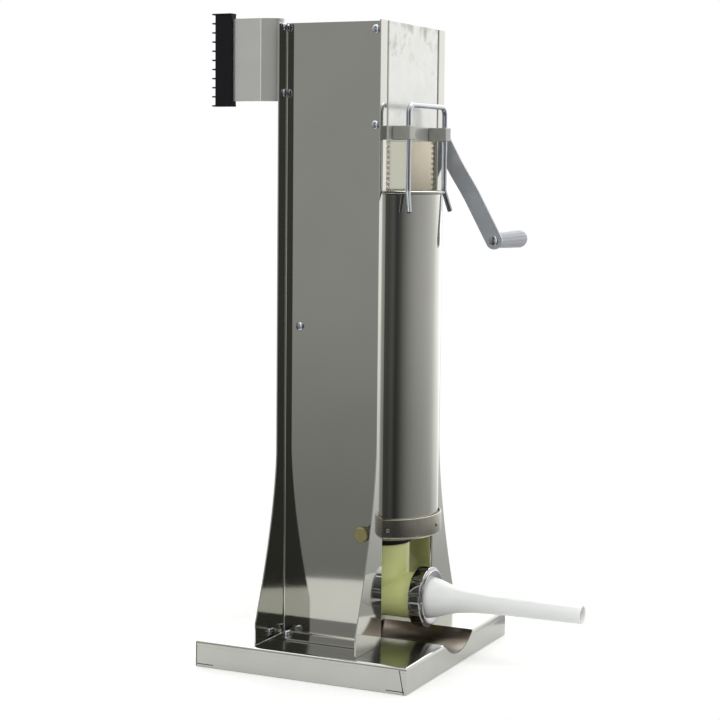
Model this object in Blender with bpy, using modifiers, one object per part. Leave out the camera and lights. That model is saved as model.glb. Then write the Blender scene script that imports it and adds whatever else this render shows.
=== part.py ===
# Vertical sausage stuffer with a folded sheet tower, a lift-out cylinder and a crank-driven rack.
# Metres, +Z up. Inside the tower frame, x is across it, y runs from its front plane to the rear
# and z is the height above the table. The whole tower frame is then centred over the origin.
import math

import bmesh
import bpy
from mathutils import Matrix, Vector

# Driving dimensions
tube_radius = 0.0655
tube_wall = 0.0015
tube_length = 0.395
cylinder_axis_y = 0.034
cover_height = 0.130
sheet = 0.0015
tooth_module = 0.002
pinion_teeth = 14
crank_reach = 0.1677
crank_lean = math.radians(29)
nozzle_length = 0.1865
outlet_height = 0.0745
clearance = 0.0003
overrun = 0.004

# Facets round a turned piece
fine_steps = 32
medium_steps = 20
small_steps = 10

# The cradle and its cylinder set how wide and how high the tower is
cradle_bottom = 0.148
cradle_floor = 0.002
cradle_play = 0.0043
cradle_side_gap = 0.0007
cylinder_headroom = 0.0567
cradle_radius = tube_radius + cradle_play
panel_inner = cradle_radius + cradle_side_gap
panel_outer = panel_inner + sheet
tube_bottom = cradle_bottom + cradle_floor + clearance
tube_top = tube_bottom + tube_length
cover_bottom = tube_top + cylinder_headroom
tower_top = cover_bottom + cover_height

# The stop rod stands close behind the cylinder and sets how deep the tower is
stop_rod_radius = 0.005
stop_rod_gap = 0.0019
stop_rod_inset = 0.0206
stop_rod_y = cylinder_axis_y + tube_radius + stop_rod_gap + stop_rod_radius
tower_depth = stop_rod_y + stop_rod_inset

# The rack stands in the middle of the piston, with the pinion and its shaft in front
rack_offset = 0.001
rack_thickness = 0.012
rack_depth = 0.035
shaft_rise = 0.031
shaft_radius = 0.007
rack_pitch_y = cylinder_axis_y - rack_offset
rack_back_y = rack_pitch_y + rack_depth
pinion_radius = tooth_module * pinion_teeth / 2
shaft_y = rack_pitch_y - pinion_radius
shaft_height = cover_bottom + shaft_rise

weld_distance = 0.00001
pivots = {}


def clear_scene():
    for item in list(bpy.data.objects):
        bpy.data.objects.remove(item, do_unlink=True)


def new_collection(name):
    group = bpy.data.collections.new(name)
    bpy.context.scene.collection.children.link(group)
    return group


clear_scene()
stuffer = new_collection("sausage_stuffer")
cutters = new_collection("cutters")


def finish(name, colour, roughness, metallic):
    material = bpy.data.materials.new(name)
    material.use_nodes = True
    shader = material.node_tree.nodes["Principled BSDF"]
    shader.inputs["Base Color"].default_value = (*colour, 1)
    shader.inputs["Roughness"].default_value = roughness
    shader.inputs["Metallic"].default_value = metallic
    material.diffuse_color = (*colour, 1)
    return material


polished = finish("polished_stainless", (0.55, 0.55, 0.51), 0.12, 1)
satin = finish("satin_stainless", (0.62, 0.62, 0.58), 0.35, 1)
pale_sheet = finish("pale_sheet", (0.72, 0.72, 0.68), 0.45, 0.7)
zinc = finish("zinc_plated_steel", (0.50, 0.52, 0.58), 0.25, 1)
chrome = finish("chrome", (0.58, 0.58, 0.60), 0.08, 1)
brass = finish("dull_brass", (0.36, 0.35, 0.20), 0.45, 1)
steel = finish("machined_steel", (0.45, 0.44, 0.42), 0.4, 1)
rack_steel = finish("rack_steel", (0.66, 0.60, 0.52), 0.4, 0.8)
black_rubber = finish("black_rubber", (0.012, 0.011, 0.014), 0.6, 0)
yellow_plastic = finish("yellow_plastic", (0.42, 0.45, 0.12), 0.4, 0)
white_plastic = finish("white_plastic", (0.80, 0.82, 0.82), 0.35, 0)
grey_plastic = finish("grey_plastic", (0.58, 0.58, 0.60), 0.5, 0)


# Placing and shaping
def pivot(name, place, parent=None):
    holder = bpy.data.objects.new(name, None)
    stuffer.objects.link(holder)
    holder.location = Vector(place)
    if parent:
        holder.parent = parent
        holder.location = Vector(place) - pivots[parent.name]
    pivots[name] = Vector(place) if parent else Vector((0, 0, 0))
    return holder


def add(name, mesh, place, parent, material):
    piece = bpy.data.objects.new(name, mesh)
    stuffer.objects.link(piece)
    piece.parent = parent
    piece.location = Vector(place) - pivots[parent.name]
    mesh.materials.clear()
    mesh.materials.append(material)
    return piece


def round_off(mesh, angle=math.radians(35)):
    mesh.shade_smooth()
    mesh.set_sharp_from_angle(angle=angle)
    return mesh


def from_bmesh(name, bm):
    mesh = bpy.data.meshes.new(name)
    bm.to_mesh(mesh)
    bm.free()
    return mesh


def evaluated(name, source):
    """A welded mesh of an object as its modifiers or its curve leave it; the source is removed."""
    graph = bpy.context.evaluated_depsgraph_get()
    mesh = bpy.data.meshes.new_from_object(source.evaluated_get(graph))
    mesh.name = name
    bm = bmesh.new()
    bm.from_mesh(mesh)
    bmesh.ops.remove_doubles(bm, verts=bm.verts, dist=weld_distance)
    bm.to_mesh(mesh)
    bm.free()
    bpy.data.objects.remove(source, do_unlink=True)
    return mesh


def box_mesh(name, low, high):
    low, high = Vector(low), Vector(high)
    bm = bmesh.new()
    bmesh.ops.create_cube(bm, size=1)
    bmesh.ops.scale(bm, vec=high - low, verts=bm.verts)
    bmesh.ops.translate(bm, vec=(low + high) / 2, verts=bm.verts)
    return from_bmesh(name, bm)


def turned_mesh(name, profile, steps, axis="Z", closed=False):
    """Profile points are (radius, height), the outer side from top to bottom."""
    bm = bmesh.new()
    points = [bm.verts.new((radius, 0, height)) for radius, height in profile]
    for first, second in zip(points, points[1:]):
        bm.edges.new((first, second))
    if closed:
        bm.edges.new((points[-1], points[0]))
    item = bpy.data.objects.new(name, from_bmesh(name, bm))
    bpy.context.scene.collection.objects.link(item)
    screw = item.modifiers.new("turn", "SCREW")
    screw.steps = steps
    screw.render_steps = steps
    screw.use_merge_vertices = True
    screw.merge_threshold = weld_distance
    mesh = evaluated(name, item)
    turn = {"Z": Matrix(), "X": Matrix.Rotation(math.pi / 2, 4, "Y"), "Y": Matrix.Rotation(-math.pi / 2, 4, "X")}
    mesh.transform(turn[axis])
    return round_off(mesh)


def outline_mesh(name, points, thickness, plane="XY"):
    """A flat outline with half its thickness on each side of its plane."""
    curve = bpy.data.curves.new(name, "CURVE")
    curve.dimensions = "2D"
    curve.fill_mode = "BOTH"
    curve.extrude = thickness / 2
    spline = curve.splines.new("POLY")
    spline.points.add(len(points) - 1)
    for spot, (u, v) in zip(spline.points, points):
        spot.co = (u, v, 0, 1)
    spline.use_cyclic_u = True
    item = bpy.data.objects.new(name, curve)
    bpy.context.scene.collection.objects.link(item)
    mesh = evaluated(name, item)
    turn = {
        "XY": Matrix(),
        "XZ": Matrix.Rotation(math.pi / 2, 4, "X"),
        "YZ": Matrix(((0, 0, 1, 0), (1, 0, 0, 0), (0, 1, 0, 0), (0, 0, 0, 1))),
    }
    mesh.transform(turn[plane])
    return mesh


def wire_mesh(name, points, radius, resolution=2):
    curve = bpy.data.curves.new(name, "CURVE")
    curve.dimensions = "3D"
    curve.bevel_depth = radius
    curve.bevel_resolution = resolution
    curve.use_fill_caps = True
    spline = curve.splines.new("POLY")
    spline.points.add(len(points) - 1)
    for spot, point in zip(spline.points, points):
        spot.co = (*point, 1)
    item = bpy.data.objects.new(name, curve)
    bpy.context.scene.collection.objects.link(item)
    return round_off(evaluated(name, item))


def sheet_mesh(name, rows, flap=None):
    """An open sheet through rows of points that rise, with an optional flap below part of a row."""
    bm = bmesh.new()
    grid = [[bm.verts.new(point) for point in row] for row in rows]
    for lower, upper in zip(grid, grid[1:]):
        for i in range(len(lower) - 1):
            bm.faces.new((lower[i], lower[i + 1], upper[i + 1], upper[i]))
    if flap:
        first, points = flap
        low = [bm.verts.new(point) for point in points]
        for i in range(len(low) - 1):
            bm.faces.new((low[i], low[i + 1], grid[0][first + i + 1], grid[0][first + i]))
    return from_bmesh(name, bm)


def thicken(piece, thickness):
    shell = piece.modifiers.new("sheet", "SOLIDIFY")
    shell.thickness = thickness
    shell.offset = -1
    shell.use_even_offset = True


def soften(piece, width, segments=2):
    edge = piece.modifiers.new("soft edges", "BEVEL")
    edge.width = width
    edge.segments = segments
    edge.limit_method = "ANGLE"
    edge.angle_limit = math.radians(50)


def boolean(piece, tool, operation="DIFFERENCE"):
    change = piece.modifiers.new(tool.name, "BOOLEAN")
    change.operation = operation
    change.object = tool


def cutter(name, mesh, place, parent):
    tool = bpy.data.objects.new(name, mesh)
    cutters.objects.link(tool)
    tool.parent = parent
    tool.location = Vector(place) - pivots[parent.name]
    tool.hide_render = True
    tool.display_type = "WIRE"
    return tool


def drill(piece, name, place, parent, radius, low, high, axis, steps=small_steps):
    """Cut a round hole between two distances along its axis from its place."""
    profile = [(0, high), (radius, high), (radius, low), (0, low)]
    boolean(piece, cutter(name, turned_mesh(name, profile, steps, axis), place, parent))


def arc(centre, radius, start, end, count):
    """Points of an arc, angles in degrees, both ends included."""
    turns = [math.radians(start + (end - start) * i / count) for i in range(count + 1)]
    return [(centre[0] + radius * math.cos(t), centre[1] + radius * math.sin(t)) for t in turns]


# Side panels' width at their fins and feet
fin_width = 0.018
foot_width = 0.068

# Base: an upturned tray of folded sheet that stands on its in-turned hem
base_side_overhang = 0.010
base_width = 2 * (panel_outer + foot_width + base_side_overhang)
base_height = 0.031
base_front_overhang = 0.066
base_rear_overhang = 0.071
base_hem = 0.014
trough_radius = 0.060
trough_depth = 0.0165
trough_rear_y = 0.022
trough_steps = 14
trough_axis_height = base_height + trough_radius - trough_depth


def make_base():
    low = (-base_width / 2, -base_front_overhang, 0)
    high = (base_width / 2, tower_depth + base_rear_overhang, base_height)
    mesh = box_mesh("base_tray", low, high)
    bm = bmesh.new()
    bm.from_mesh(mesh)
    bottom = [face for face in bm.faces if face.normal.z < -0.5]
    bmesh.ops.inset_region(bm, faces=bottom, thickness=base_hem)
    bmesh.ops.delete(bm, geom=bottom, context="FACES")
    bm.to_mesh(mesh)
    bm.free()
    tray = add("base_tray", mesh, (0, 0, 0), frame, satin)
    thicken(tray, sheet)
    length = base_front_overhang + overrun + trough_rear_y + clearance
    middle = (trough_rear_y + clearance - base_front_overhang - overrun) / 2
    profile = [(0, length / 2), (trough_radius + clearance, length / 2)]
    profile += [(trough_radius + clearance, -length / 2), (0, -length / 2)]
    channel = turned_mesh("trough_cut", profile, fine_steps * 2, "Y")
    boolean(tray, cutter("trough_cut", channel, (0, middle, trough_axis_height), frame))
    for side, end, place in foot_bolt_places():
        drill(tray, f"base_bolt_hole_{side}_{end}", place, frame, bolt_radius + clearance, -overrun, overrun, "Z")


def make_trough():
    reach = math.degrees(math.acos((trough_radius - trough_depth) / trough_radius))
    low, high = -90 - reach, -90 + reach
    outer = arc((0, 0), trough_radius, low, high, trough_steps)
    inner = arc((0, 0), trough_radius - sheet, high, low, trough_steps)
    length = base_front_overhang + trough_rear_y
    middle = (trough_rear_y - base_front_overhang) / 2
    strip = outline_mesh("drip_trough", outer + inner, length, "XZ")
    trough = add("drip_trough", strip, (0, middle, trough_axis_height), frame, satin)
    wall = arc((0, 0), trough_radius - sheet / 2, low, high, trough_steps)
    wall_mesh = outline_mesh("trough_end", wall, sheet, "XZ")
    end = cutter("trough_end", wall_mesh, (0, trough_rear_y - sheet, trough_axis_height), frame)
    boolean(trough, end, "UNION")


# Side panels: one folded sheet each, with fins that flare into feet and a flange on the base
foot_straight = 0.025
flare_top = 0.250
flare_power = 1.6
flare_rows = 7
flange_width = 0.031
flange_relief = 0.003
fold_radius = 0.0016
fold_steps = 2
panel_bottom = base_height + clearance
bolt_inset = 0.0125
bolt_radius = 0.003
screw_radius = 0.002
cover_screw_y = 0.014
cover_screw_rise = 0.016
cover_screw_drop = 0.009
cover_screw_heights = (cover_bottom + cover_screw_rise, tower_top - cover_screw_drop)
stop_rod_height = 0.390
thumb_y = 0.0156
thumb_rise = 0.0125
thumb_height = cradle_bottom + thumb_rise
thumb_shank_radius = 0.004
bracket_drop = 0.0878
bracket_rise = 0.005
bracket_low = tower_top - bracket_drop
bracket_high = tower_top + bracket_rise
bracket_screw_end = 0.0095
bracket_screw_heights = (bracket_low + bracket_screw_end, bracket_high - bracket_screw_end)
bracket_screw_inset = 0.006
bush_radius = 0.0095


def foot_bolt_places():
    places = []
    for side, sign in (("left", -1), ("right", 1)):
        for end, y in (("front", bolt_inset), ("rear", tower_depth - bolt_inset)):
            places.append((side, end, (sign * (panel_outer + bolt_inset), y, base_height)))
    return places


def fin_reach(height):
    straight_top = base_height + foot_straight
    share = min(1, max(0, (flare_top - height) / (flare_top - straight_top)))
    return panel_outer + fin_width + (foot_width - fin_width) * share ** flare_power


def make_side_panel(side, sign):
    straight_top = base_height + foot_straight
    step = (flare_top - straight_top) / flare_rows
    heights = [panel_bottom] + [straight_top + step * i for i in range(flare_rows + 1)] + [tower_top]
    front, rear = sheet, tower_depth - sheet
    rows = []
    for height in heights:
        reach = fin_reach(height)
        lift = sheet if height == panel_bottom else 0
        rear_fold = arc((panel_outer + fold_radius, rear - fold_radius), fold_radius, 90, 180, fold_steps)
        front_fold = arc((panel_outer + fold_radius, front + fold_radius), fold_radius, 180, 270, fold_steps)
        rear_points = [(sign * x, y, height) for x, y in [(reach, rear)] + rear_fold]
        front_points = [(sign * x, y, height) for x, y in front_fold + [(reach, front)]]
        foot = [(sign * panel_outer, y, height + lift) for y in (rear - flange_relief, front + flange_relief)]
        rows.append(rear_points + foot + front_points)
    edge = sign * (panel_outer + flange_width)
    flap = [(edge, rear - flange_relief, panel_bottom + sheet), (edge, front + flange_relief, panel_bottom + sheet)]
    if sign > 0:
        rows = [row[::-1] for row in rows]
        flap = flap[::-1]
    web_start = fold_steps + 2
    mesh = sheet_mesh(f"{side}_side_panel", rows, (web_start, flap))
    panel = add(f"{side}_side_panel", mesh, (0, 0, 0), frame, polished)
    thicken(panel, sheet)
    middle = sign * (panel_outer - sheet / 2)
    for i, height in enumerate(cover_screw_heights):
        drill(panel, f"{side}_cover_hole_{i}", (middle, cover_screw_y, height), frame,
              screw_radius + clearance, -overrun, overrun, "X")
    drill(panel, f"{side}_rod_hole", (middle, stop_rod_y, stop_rod_height), frame,
          screw_radius + clearance, -overrun, overrun, "X")
    drill(panel, f"{side}_thumb_hole", (middle, thumb_y, thumb_height), frame,
          thumb_shank_radius + clearance, -overrun, overrun, "X")
    for i, height in enumerate(bracket_screw_heights):
        place = (sign * (panel_outer + bracket_screw_inset), tower_depth - sheet / 2, height)
        drill(panel, f"{side}_bracket_hole_{i}", place, frame, screw_radius + clearance, -overrun, overrun, "Y")
    for bolt_side, end, place in foot_bolt_places():
        if bolt_side == side:
            drill(panel, f"{side}_{end}_bolt_hole", place, frame, bolt_radius + clearance, -overrun, overrun, "Z")
    if sign > 0:
        drill(panel, "shaft_hole", (middle, shaft_y, shaft_height), frame,
              bush_radius + clearance, -overrun, overrun, "X", medium_steps)
    return panel


# Front cover: a channel between the panels that hides the gearing
guide_bar_depth = 0.015
guide_bar_back_y = rack_back_y + guide_bar_depth
cover_margin = 0.005
cover_depth = guide_bar_back_y + cover_margin
cover_outer = panel_inner - clearance
cover_inner = cover_outer - sheet
cover_fold_radius = 0.0028


def make_front_cover():
    rows = []
    fold_x, fold = cover_outer - cover_fold_radius, cover_fold_radius
    left_fold = arc((-fold_x, fold), fold, 180, 270, fold_steps)
    right_fold = arc((fold_x, fold), fold, 270, 360, fold_steps)
    section = [(-cover_outer, cover_depth)] + left_fold + right_fold + [(cover_outer, cover_depth)]
    for height in (cover_bottom, tower_top):
        rows.append([(x, y, height) for x, y in section])
    cover = add("front_cover", sheet_mesh("front_cover", rows), (0, 0, 0), frame, pale_sheet)
    thicken(cover, sheet)
    for side, sign in (("left", -1), ("right", 1)):
        middle = sign * (cover_outer - sheet / 2)
        for i, height in enumerate(cover_screw_heights):
            drill(cover, f"{side}_cover_thread_{i}", (middle, cover_screw_y, height), frame,
                  screw_radius + clearance, -overrun, overrun, "X")
    drill(cover, "cover_shaft_hole", (cover_outer - sheet / 2, shaft_y, shaft_height), frame,
          bush_radius + clearance, -overrun, overrun, "X", medium_steps)


# Top plate: a shallow lid between the panels with the slot that the rack rises through
lid_flange = 0.014
lid_drop = 0.0015
addendum_share = 0.8
dedendum_share = 1.15
rack_addendum = addendum_share * tooth_module
rack_dedendum = dedendum_share * tooth_module
slot_margin = 0.001


def make_top_plate():
    low = (-cover_inner + clearance, cover_fold_radius + clearance, tower_top - lid_drop - lid_flange)
    high = (cover_inner - clearance, tower_depth - sheet, tower_top - lid_drop)
    mesh = box_mesh("top_plate", low, high)
    bm = bmesh.new()
    bm.from_mesh(mesh)
    bmesh.ops.delete(bm, geom=[face for face in bm.faces if face.normal.z < -0.5], context="FACES")
    bm.to_mesh(mesh)
    bm.free()
    lid = add("top_plate", mesh, (0, 0, 0), frame, polished)
    thicken(lid, sheet)
    half = rack_thickness / 2 + slot_margin
    front = rack_pitch_y - rack_addendum - slot_margin
    slot = box_mesh("rack_slot", (-half, front, tower_top - lid_flange), (half, rack_back_y + slot_margin, tower_top))
    boolean(lid, cutter("rack_slot", slot, (0, 0, 0), frame))
    for side, sign in (("left", -1), ("right", 1)):
        place = (sign * (cover_inner - clearance - sheet / 2), cover_screw_y, cover_screw_heights[1])
        drill(lid, f"{side}_lid_thread", place, frame, screw_radius + clearance, -overrun, overrun, "X")


# Guide blocks and the wire bail that keeps the cylinder from tipping forward
rim_roll = 0.0027
rim_radius = tube_radius + rim_roll
bail_radius = 0.003
bail_half_span = 0.0515
bail_gap = 0.0014
bail_reach = math.sqrt((rim_radius + bail_gap + bail_radius) ** 2 - bail_half_span ** 2)
bail_y = cylinder_axis_y - bail_reach
bail_rise = 0.039
bail_top = cover_bottom + bail_rise
bail_bend = 0.010
bail_flare_start = tube_top
bail_flare_drop = 0.024
bail_flare_out = 0.008
bail_flare_forward = 0.005
guide_width = 0.015
guide_front_wall = 0.0018
guide_reach = bail_radius + guide_front_wall - bail_y
guide_height = 0.0155
guide_edge = 0.0008


def make_guide_block(side, sign):
    low = (-guide_width / 2, -guide_reach, cover_bottom)
    high = (guide_width / 2, -clearance, cover_bottom + guide_height)
    mesh = box_mesh(f"guide_block_{side}", low, high)
    block = add(f"guide_block_{side}", mesh, (sign * bail_half_span, 0, 0), frame, satin)
    soften(block, guide_edge)
    place = (sign * bail_half_span, bail_y, cover_bottom + guide_height / 2)
    drill(block, f"guide_hole_{side}", place, frame, bail_radius + clearance,
          -guide_height / 2 - overrun, guide_height / 2 + overrun, "Z", medium_steps)


def make_bail(holder):
    centre = (bail_half_span - bail_bend, bail_top - bail_bend)
    corner = arc(centre, bail_bend, 90, 0, 5)
    leg = [(x, bail_y, z) for x, z in corner]
    leg.append((bail_half_span, bail_y, bail_flare_start))
    foot = bail_flare_start - bail_flare_drop
    leg.append((bail_half_span + bail_flare_out, bail_y - bail_flare_forward, foot))
    points = [(-x, y, z) for x, y, z in leg[::-1]] + leg
    places = [Vector(point) - pivots[holder.name] for point in points]
    add("retaining_bail", wire_mesh("retaining_bail", places, bail_radius), pivots[holder.name], holder, zinc)


# Cylinder: a straight tube with a rolled rim, open at both ends
rim_half_height = 0.0018


def make_cylinder():
    inner = tube_radius - tube_wall
    crown = (inner + rim_radius) / 2
    swell = (rim_radius - inner) / 2
    lift = rim_half_height
    roll = [(crown + swell * math.cos(t), -lift + lift * math.sin(t))
            for t in [math.radians(180 - 45 * i) for i in range(5)]]
    roll.append((crown + swell * math.cos(math.radians(-60)), -lift + lift * math.sin(math.radians(-60))))
    profile = [(radius, tube_length + height) for radius, height in roll]
    profile += [(tube_radius, tube_length - 2 * lift - tube_wall), (tube_radius, 0), (inner, 0)]
    mesh = turned_mesh("cylinder_tube", profile, fine_steps, "Z", True)
    add("cylinder_tube", mesh, (0, cylinder_axis_y, tube_bottom), frame, polished)


# Cradle: the cup that the cylinder stands in, with a boss for each thumb screw
cradle_height = 0.025
cradle_wall = 0.0015
cradle_corner = 0.003
boss_radius = 0.0085
boss_root = 0.0032
boss_outer = panel_inner - clearance
boss_inner = cradle_radius - boss_root
rivet_angles = (-60, 0, 60)
rivet_head_radius = 0.0024
rivet_head_height = 0.0011
rivet_crown_share = 0.6
rivet_edge_share = 0.8
rivet_shank_radius = 0.0013
rivet_height = 0.0125


def make_cradle():
    inner = cradle_radius - cradle_wall
    profile = [(inner, cradle_height), (cradle_radius, cradle_height)]
    profile += [(r, z) for r, z in arc((cradle_radius - cradle_corner, cradle_corner), cradle_corner, 0, -90, 3)]
    profile += [(cradle_hole_radius, 0), (cradle_hole_radius, cradle_floor), (inner, cradle_floor)]
    mesh = turned_mesh("cylinder_cradle", profile, fine_steps, "Z", True)
    cradle = add("cylinder_cradle", mesh, (0, cylinder_axis_y, cradle_bottom), frame, satin)
    length = boss_outer - boss_inner
    for side, sign in (("left", -1), ("right", 1)):
        place = (sign * (boss_inner + length / 2), thumb_y, thumb_height)
        ring = [(0, length / 2), (boss_radius, length / 2), (boss_radius, -length / 2), (0, -length / 2)]
        boss = cutter(f"cradle_boss_{side}", turned_mesh(f"cradle_boss_{side}", ring, medium_steps, "X"), place, frame)
        boolean(cradle, boss, "UNION")
        drill(cradle, f"cradle_thread_{side}", place, frame, thumb_shank_radius + clearance,
              -length, length, "X", small_steps)
    for i, angle in enumerate(rivet_angles):
        place, turn = rivet_place(angle)
        profile = [(0, overrun), (rivet_shank_radius + clearance, overrun)]
        profile += [(rivet_shank_radius + clearance, -overrun), (0, -overrun)]
        mesh = turned_mesh(f"rivet_hole_{i}", profile, small_steps)
        mesh.transform(turn)
        boolean(cradle, cutter(f"rivet_hole_{i}", mesh, place, frame))


def rivet_place(angle):
    """The wall's outer surface at an angle from the front, and the turn that points +Z outward."""
    t = math.radians(angle)
    outward = Vector((math.sin(t), -math.cos(t), 0))
    place = Vector((0, cylinder_axis_y, cradle_bottom + rivet_height)) + outward * cradle_radius
    return place, outward.to_track_quat("Z", "Y").to_matrix().to_4x4()


def make_rivets():
    for name, angle in zip(("left", "front", "right"), rivet_angles):
        place, turn = rivet_place(angle)
        top, under = clearance + rivet_head_height, clearance
        tail = -cradle_wall - clearance
        crown = (rivet_head_radius * rivet_crown_share, under + rivet_head_height * rivet_edge_share)
        profile = [(0, top), crown, (rivet_head_radius, under)]
        profile += [(rivet_shank_radius, under), (rivet_shank_radius, tail), (0, tail)]
        mesh = turned_mesh(f"cradle_rivet_{name}", profile, small_steps)
        mesh.transform(turn)
        add(f"cradle_rivet_{name}", mesh, place, frame, steel)


# Thumb screws that the cradle hangs on
thumb_head_radius = 0.009
thumb_head_length = 0.011
thumb_collar_radius = 0.006
thumb_collar_length = 0.014
thumb_knurls = 12
knurl_root_share = 0.93


def make_thumb_screw(side, sign, holder):
    start = panel_outer + clearance
    collar_end = start + thumb_collar_length
    head_end = collar_end + thumb_head_length
    tip = boss_inner + clearance
    outline = []
    for i in range(2 * thumb_knurls):
        radius = thumb_head_radius * (1 if i % 2 else knurl_root_share)
        angle = math.pi / thumb_knurls * i
        outline.append((radius * math.cos(angle), radius * math.sin(angle)))
    head = outline_mesh(f"thumb_screw_{side}", outline, thumb_head_length, "YZ")
    middle = sign * (head_end - thumb_head_length / 2)
    screw = add(f"thumb_screw_{side}", head, (middle, thumb_y, thumb_height), holder, brass)
    inside = collar_end + thumb_head_length / 2
    profile = [(0, inside), (thumb_collar_radius, inside), (thumb_collar_radius, start)]
    profile += [(thumb_shank_radius, start), (thumb_shank_radius, tip), (0, tip)]
    mesh = turned_mesh(f"thumb_shank_{side}", profile, medium_steps, "X")
    if sign < 0:
        mesh.transform(Matrix.Rotation(math.pi, 4, "Z"))
    shank = cutter(f"thumb_shank_{side}", mesh, (0, thumb_y, thumb_height), holder)
    boolean(screw, shank, "UNION")


# Stop rod behind the cylinder, screwed to both panels
thread_depth = 0.010


def make_stop_rod():
    half = panel_inner - clearance
    hole = screw_radius + clearance
    depth = thread_depth + clearance
    profile = [(hole, half), (stop_rod_radius, half), (stop_rod_radius, -half), (hole, -half)]
    profile += [(hole, -half + depth), (0, -half + depth)]
    profile = [(0, half - depth), (hole, half - depth)] + profile
    mesh = turned_mesh("rear_stop_rod", profile, medium_steps, "X")
    add("rear_stop_rod", mesh, (0, stop_rod_y, stop_rod_height), frame, zinc)


# Screws, bolts and nuts
screw_head_radius = 0.0040
screw_head_height = 0.0026
cover_screw_length = 0.005
bracket_screw_length = 0.006
bolt_head_radius = 0.0052
bolt_head_height = 0.0040
bolt_length = 0.0085
washer_radius = 0.0062
washer_height = 0.0012
nut_radius = 0.0055
nut_height = 0.0032
head_crown_share = 0.65
head_edge_share = 0.55


def screw_mesh(name, length, head_radius, head_height, shank_radius):
    """A pan head on +Z whose underside is at the origin."""
    profile = [(0, head_height), (head_radius * head_crown_share, head_height)]
    profile += [(head_radius, head_height * head_edge_share), (head_radius, 0)]
    profile += [(shank_radius, 0), (shank_radius, -length), (0, -length)]
    return turned_mesh(name, profile, small_steps)


def hexagon(radius):
    return [(radius * math.cos(math.pi / 3 * i), radius * math.sin(math.pi / 3 * i)) for i in range(6)]


def facing(mesh, direction):
    mesh.transform(Vector(direction).to_track_quat("Z", "Y").to_matrix().to_4x4())
    return mesh


def make_panel_screws():
    for side, sign in (("left", -1), ("right", 1)):
        under = sign * (panel_outer + clearance)
        for level, height in zip(("lower", "upper"), cover_screw_heights):
            name = f"cover_screw_{side}_{level}"
            mesh = screw_mesh(name, cover_screw_length, screw_head_radius, screw_head_height, screw_radius)
            add(name, facing(mesh, (sign, 0, 0)), (under, cover_screw_y, height), frame, zinc)
        name = f"stop_rod_screw_{side}"
        length = sheet + clearance + thread_depth
        mesh = screw_mesh(name, length, screw_head_radius, screw_head_height, screw_radius)
        add(name, facing(mesh, (sign, 0, 0)), (under, stop_rod_y, stop_rod_height), frame, zinc)
        for level, height in zip(("lower", "upper"), bracket_screw_heights):
            name = f"bracket_screw_{side}_{level}"
            mesh = screw_mesh(name, bracket_screw_length, screw_head_radius, screw_head_height, screw_radius)
            place = (sign * (panel_outer + bracket_screw_inset), tower_depth - sheet - clearance, height)
            add(name, facing(mesh, (0, -1, 0)), place, frame, zinc)


def make_foot_bolts():
    for side, end, place in foot_bolt_places():
        name = f"foot_bolt_{side}_{end}"
        top = washer_height + bolt_head_height
        edge = washer_height + bolt_head_height * head_edge_share
        profile = [(0, top), (bolt_head_radius * head_crown_share, top), (bolt_head_radius, edge)]
        profile += [(bolt_head_radius, washer_height), (washer_radius, washer_height)]
        profile += [(washer_radius, 0), (bolt_radius, 0)]
        profile += [(bolt_radius, -bolt_length), (0, -bolt_length)]
        seat = panel_bottom + sheet + clearance
        add(name, turned_mesh(name, profile, small_steps), (place[0], place[1], seat), frame, zinc)
        name = f"foot_nut_{side}_{end}"
        seat = (place[0], place[1], base_height - sheet - clearance - nut_height / 2)
        nut = add(name, outline_mesh(name, hexagon(nut_radius), nut_height), seat, frame, zinc)
        drill(nut, f"foot_nut_thread_{side}_{end}", seat, frame,
              bolt_radius + clearance, -nut_height, nut_height, "Z")


# Rear brackets and their ribbed rubber feet, which let the stuffer lie on its back
bracket_sheet = 0.002
bracket_seat_y = tower_depth + clearance
bracket_edge = 0.0015
bracket_flange = 0.008
bracket_inner_x = panel_outer + bracket_edge
bracket_bend_x = panel_outer + bracket_flange
bracket_plate_x = panel_outer + fin_width
bracket_slant = 0.022
bracket_crease_y = tower_depth + bracket_slant
foot_reach = 0.0518
foot_depth = 0.0262
foot_rib_depth = 0.0042
foot_front_y = tower_depth + foot_reach
foot_back_y = foot_front_y + foot_depth
foot_half_width = 0.006
foot_end = 0.0058
foot_low = bracket_low - foot_end
foot_high = bracket_high + foot_end
foot_slot_depth = 0.016
foot_ribs = 11
foot_rib = 0.0016


def make_rear_bracket(side, sign):
    t = bracket_sheet
    outer = bracket_plate_x + t / 2
    seat = bracket_seat_y
    end = foot_front_y + foot_slot_depth - clearance
    outline = [
        (bracket_inner_x, seat), (bracket_bend_x + t, seat), (outer, bracket_crease_y),
        (outer, end), (outer - t, end), (outer - t, bracket_crease_y + t / 2),
        (bracket_bend_x, seat + t), (bracket_inner_x, seat + t),
    ]
    mesh = outline_mesh(f"rear_bracket_{side}", [(sign * x, y) for x, y in outline], bracket_high - bracket_low)
    bracket = add(f"rear_bracket_{side}", mesh, (0, 0, (bracket_low + bracket_high) / 2), frame, satin)
    for i, height in enumerate(bracket_screw_heights):
        place = (sign * (panel_outer + bracket_screw_inset), seat + t / 2, height)
        drill(bracket, f"{side}_bracket_thread_{i}", place, frame, screw_radius + clearance, -overrun, overrun, "Y")


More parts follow.
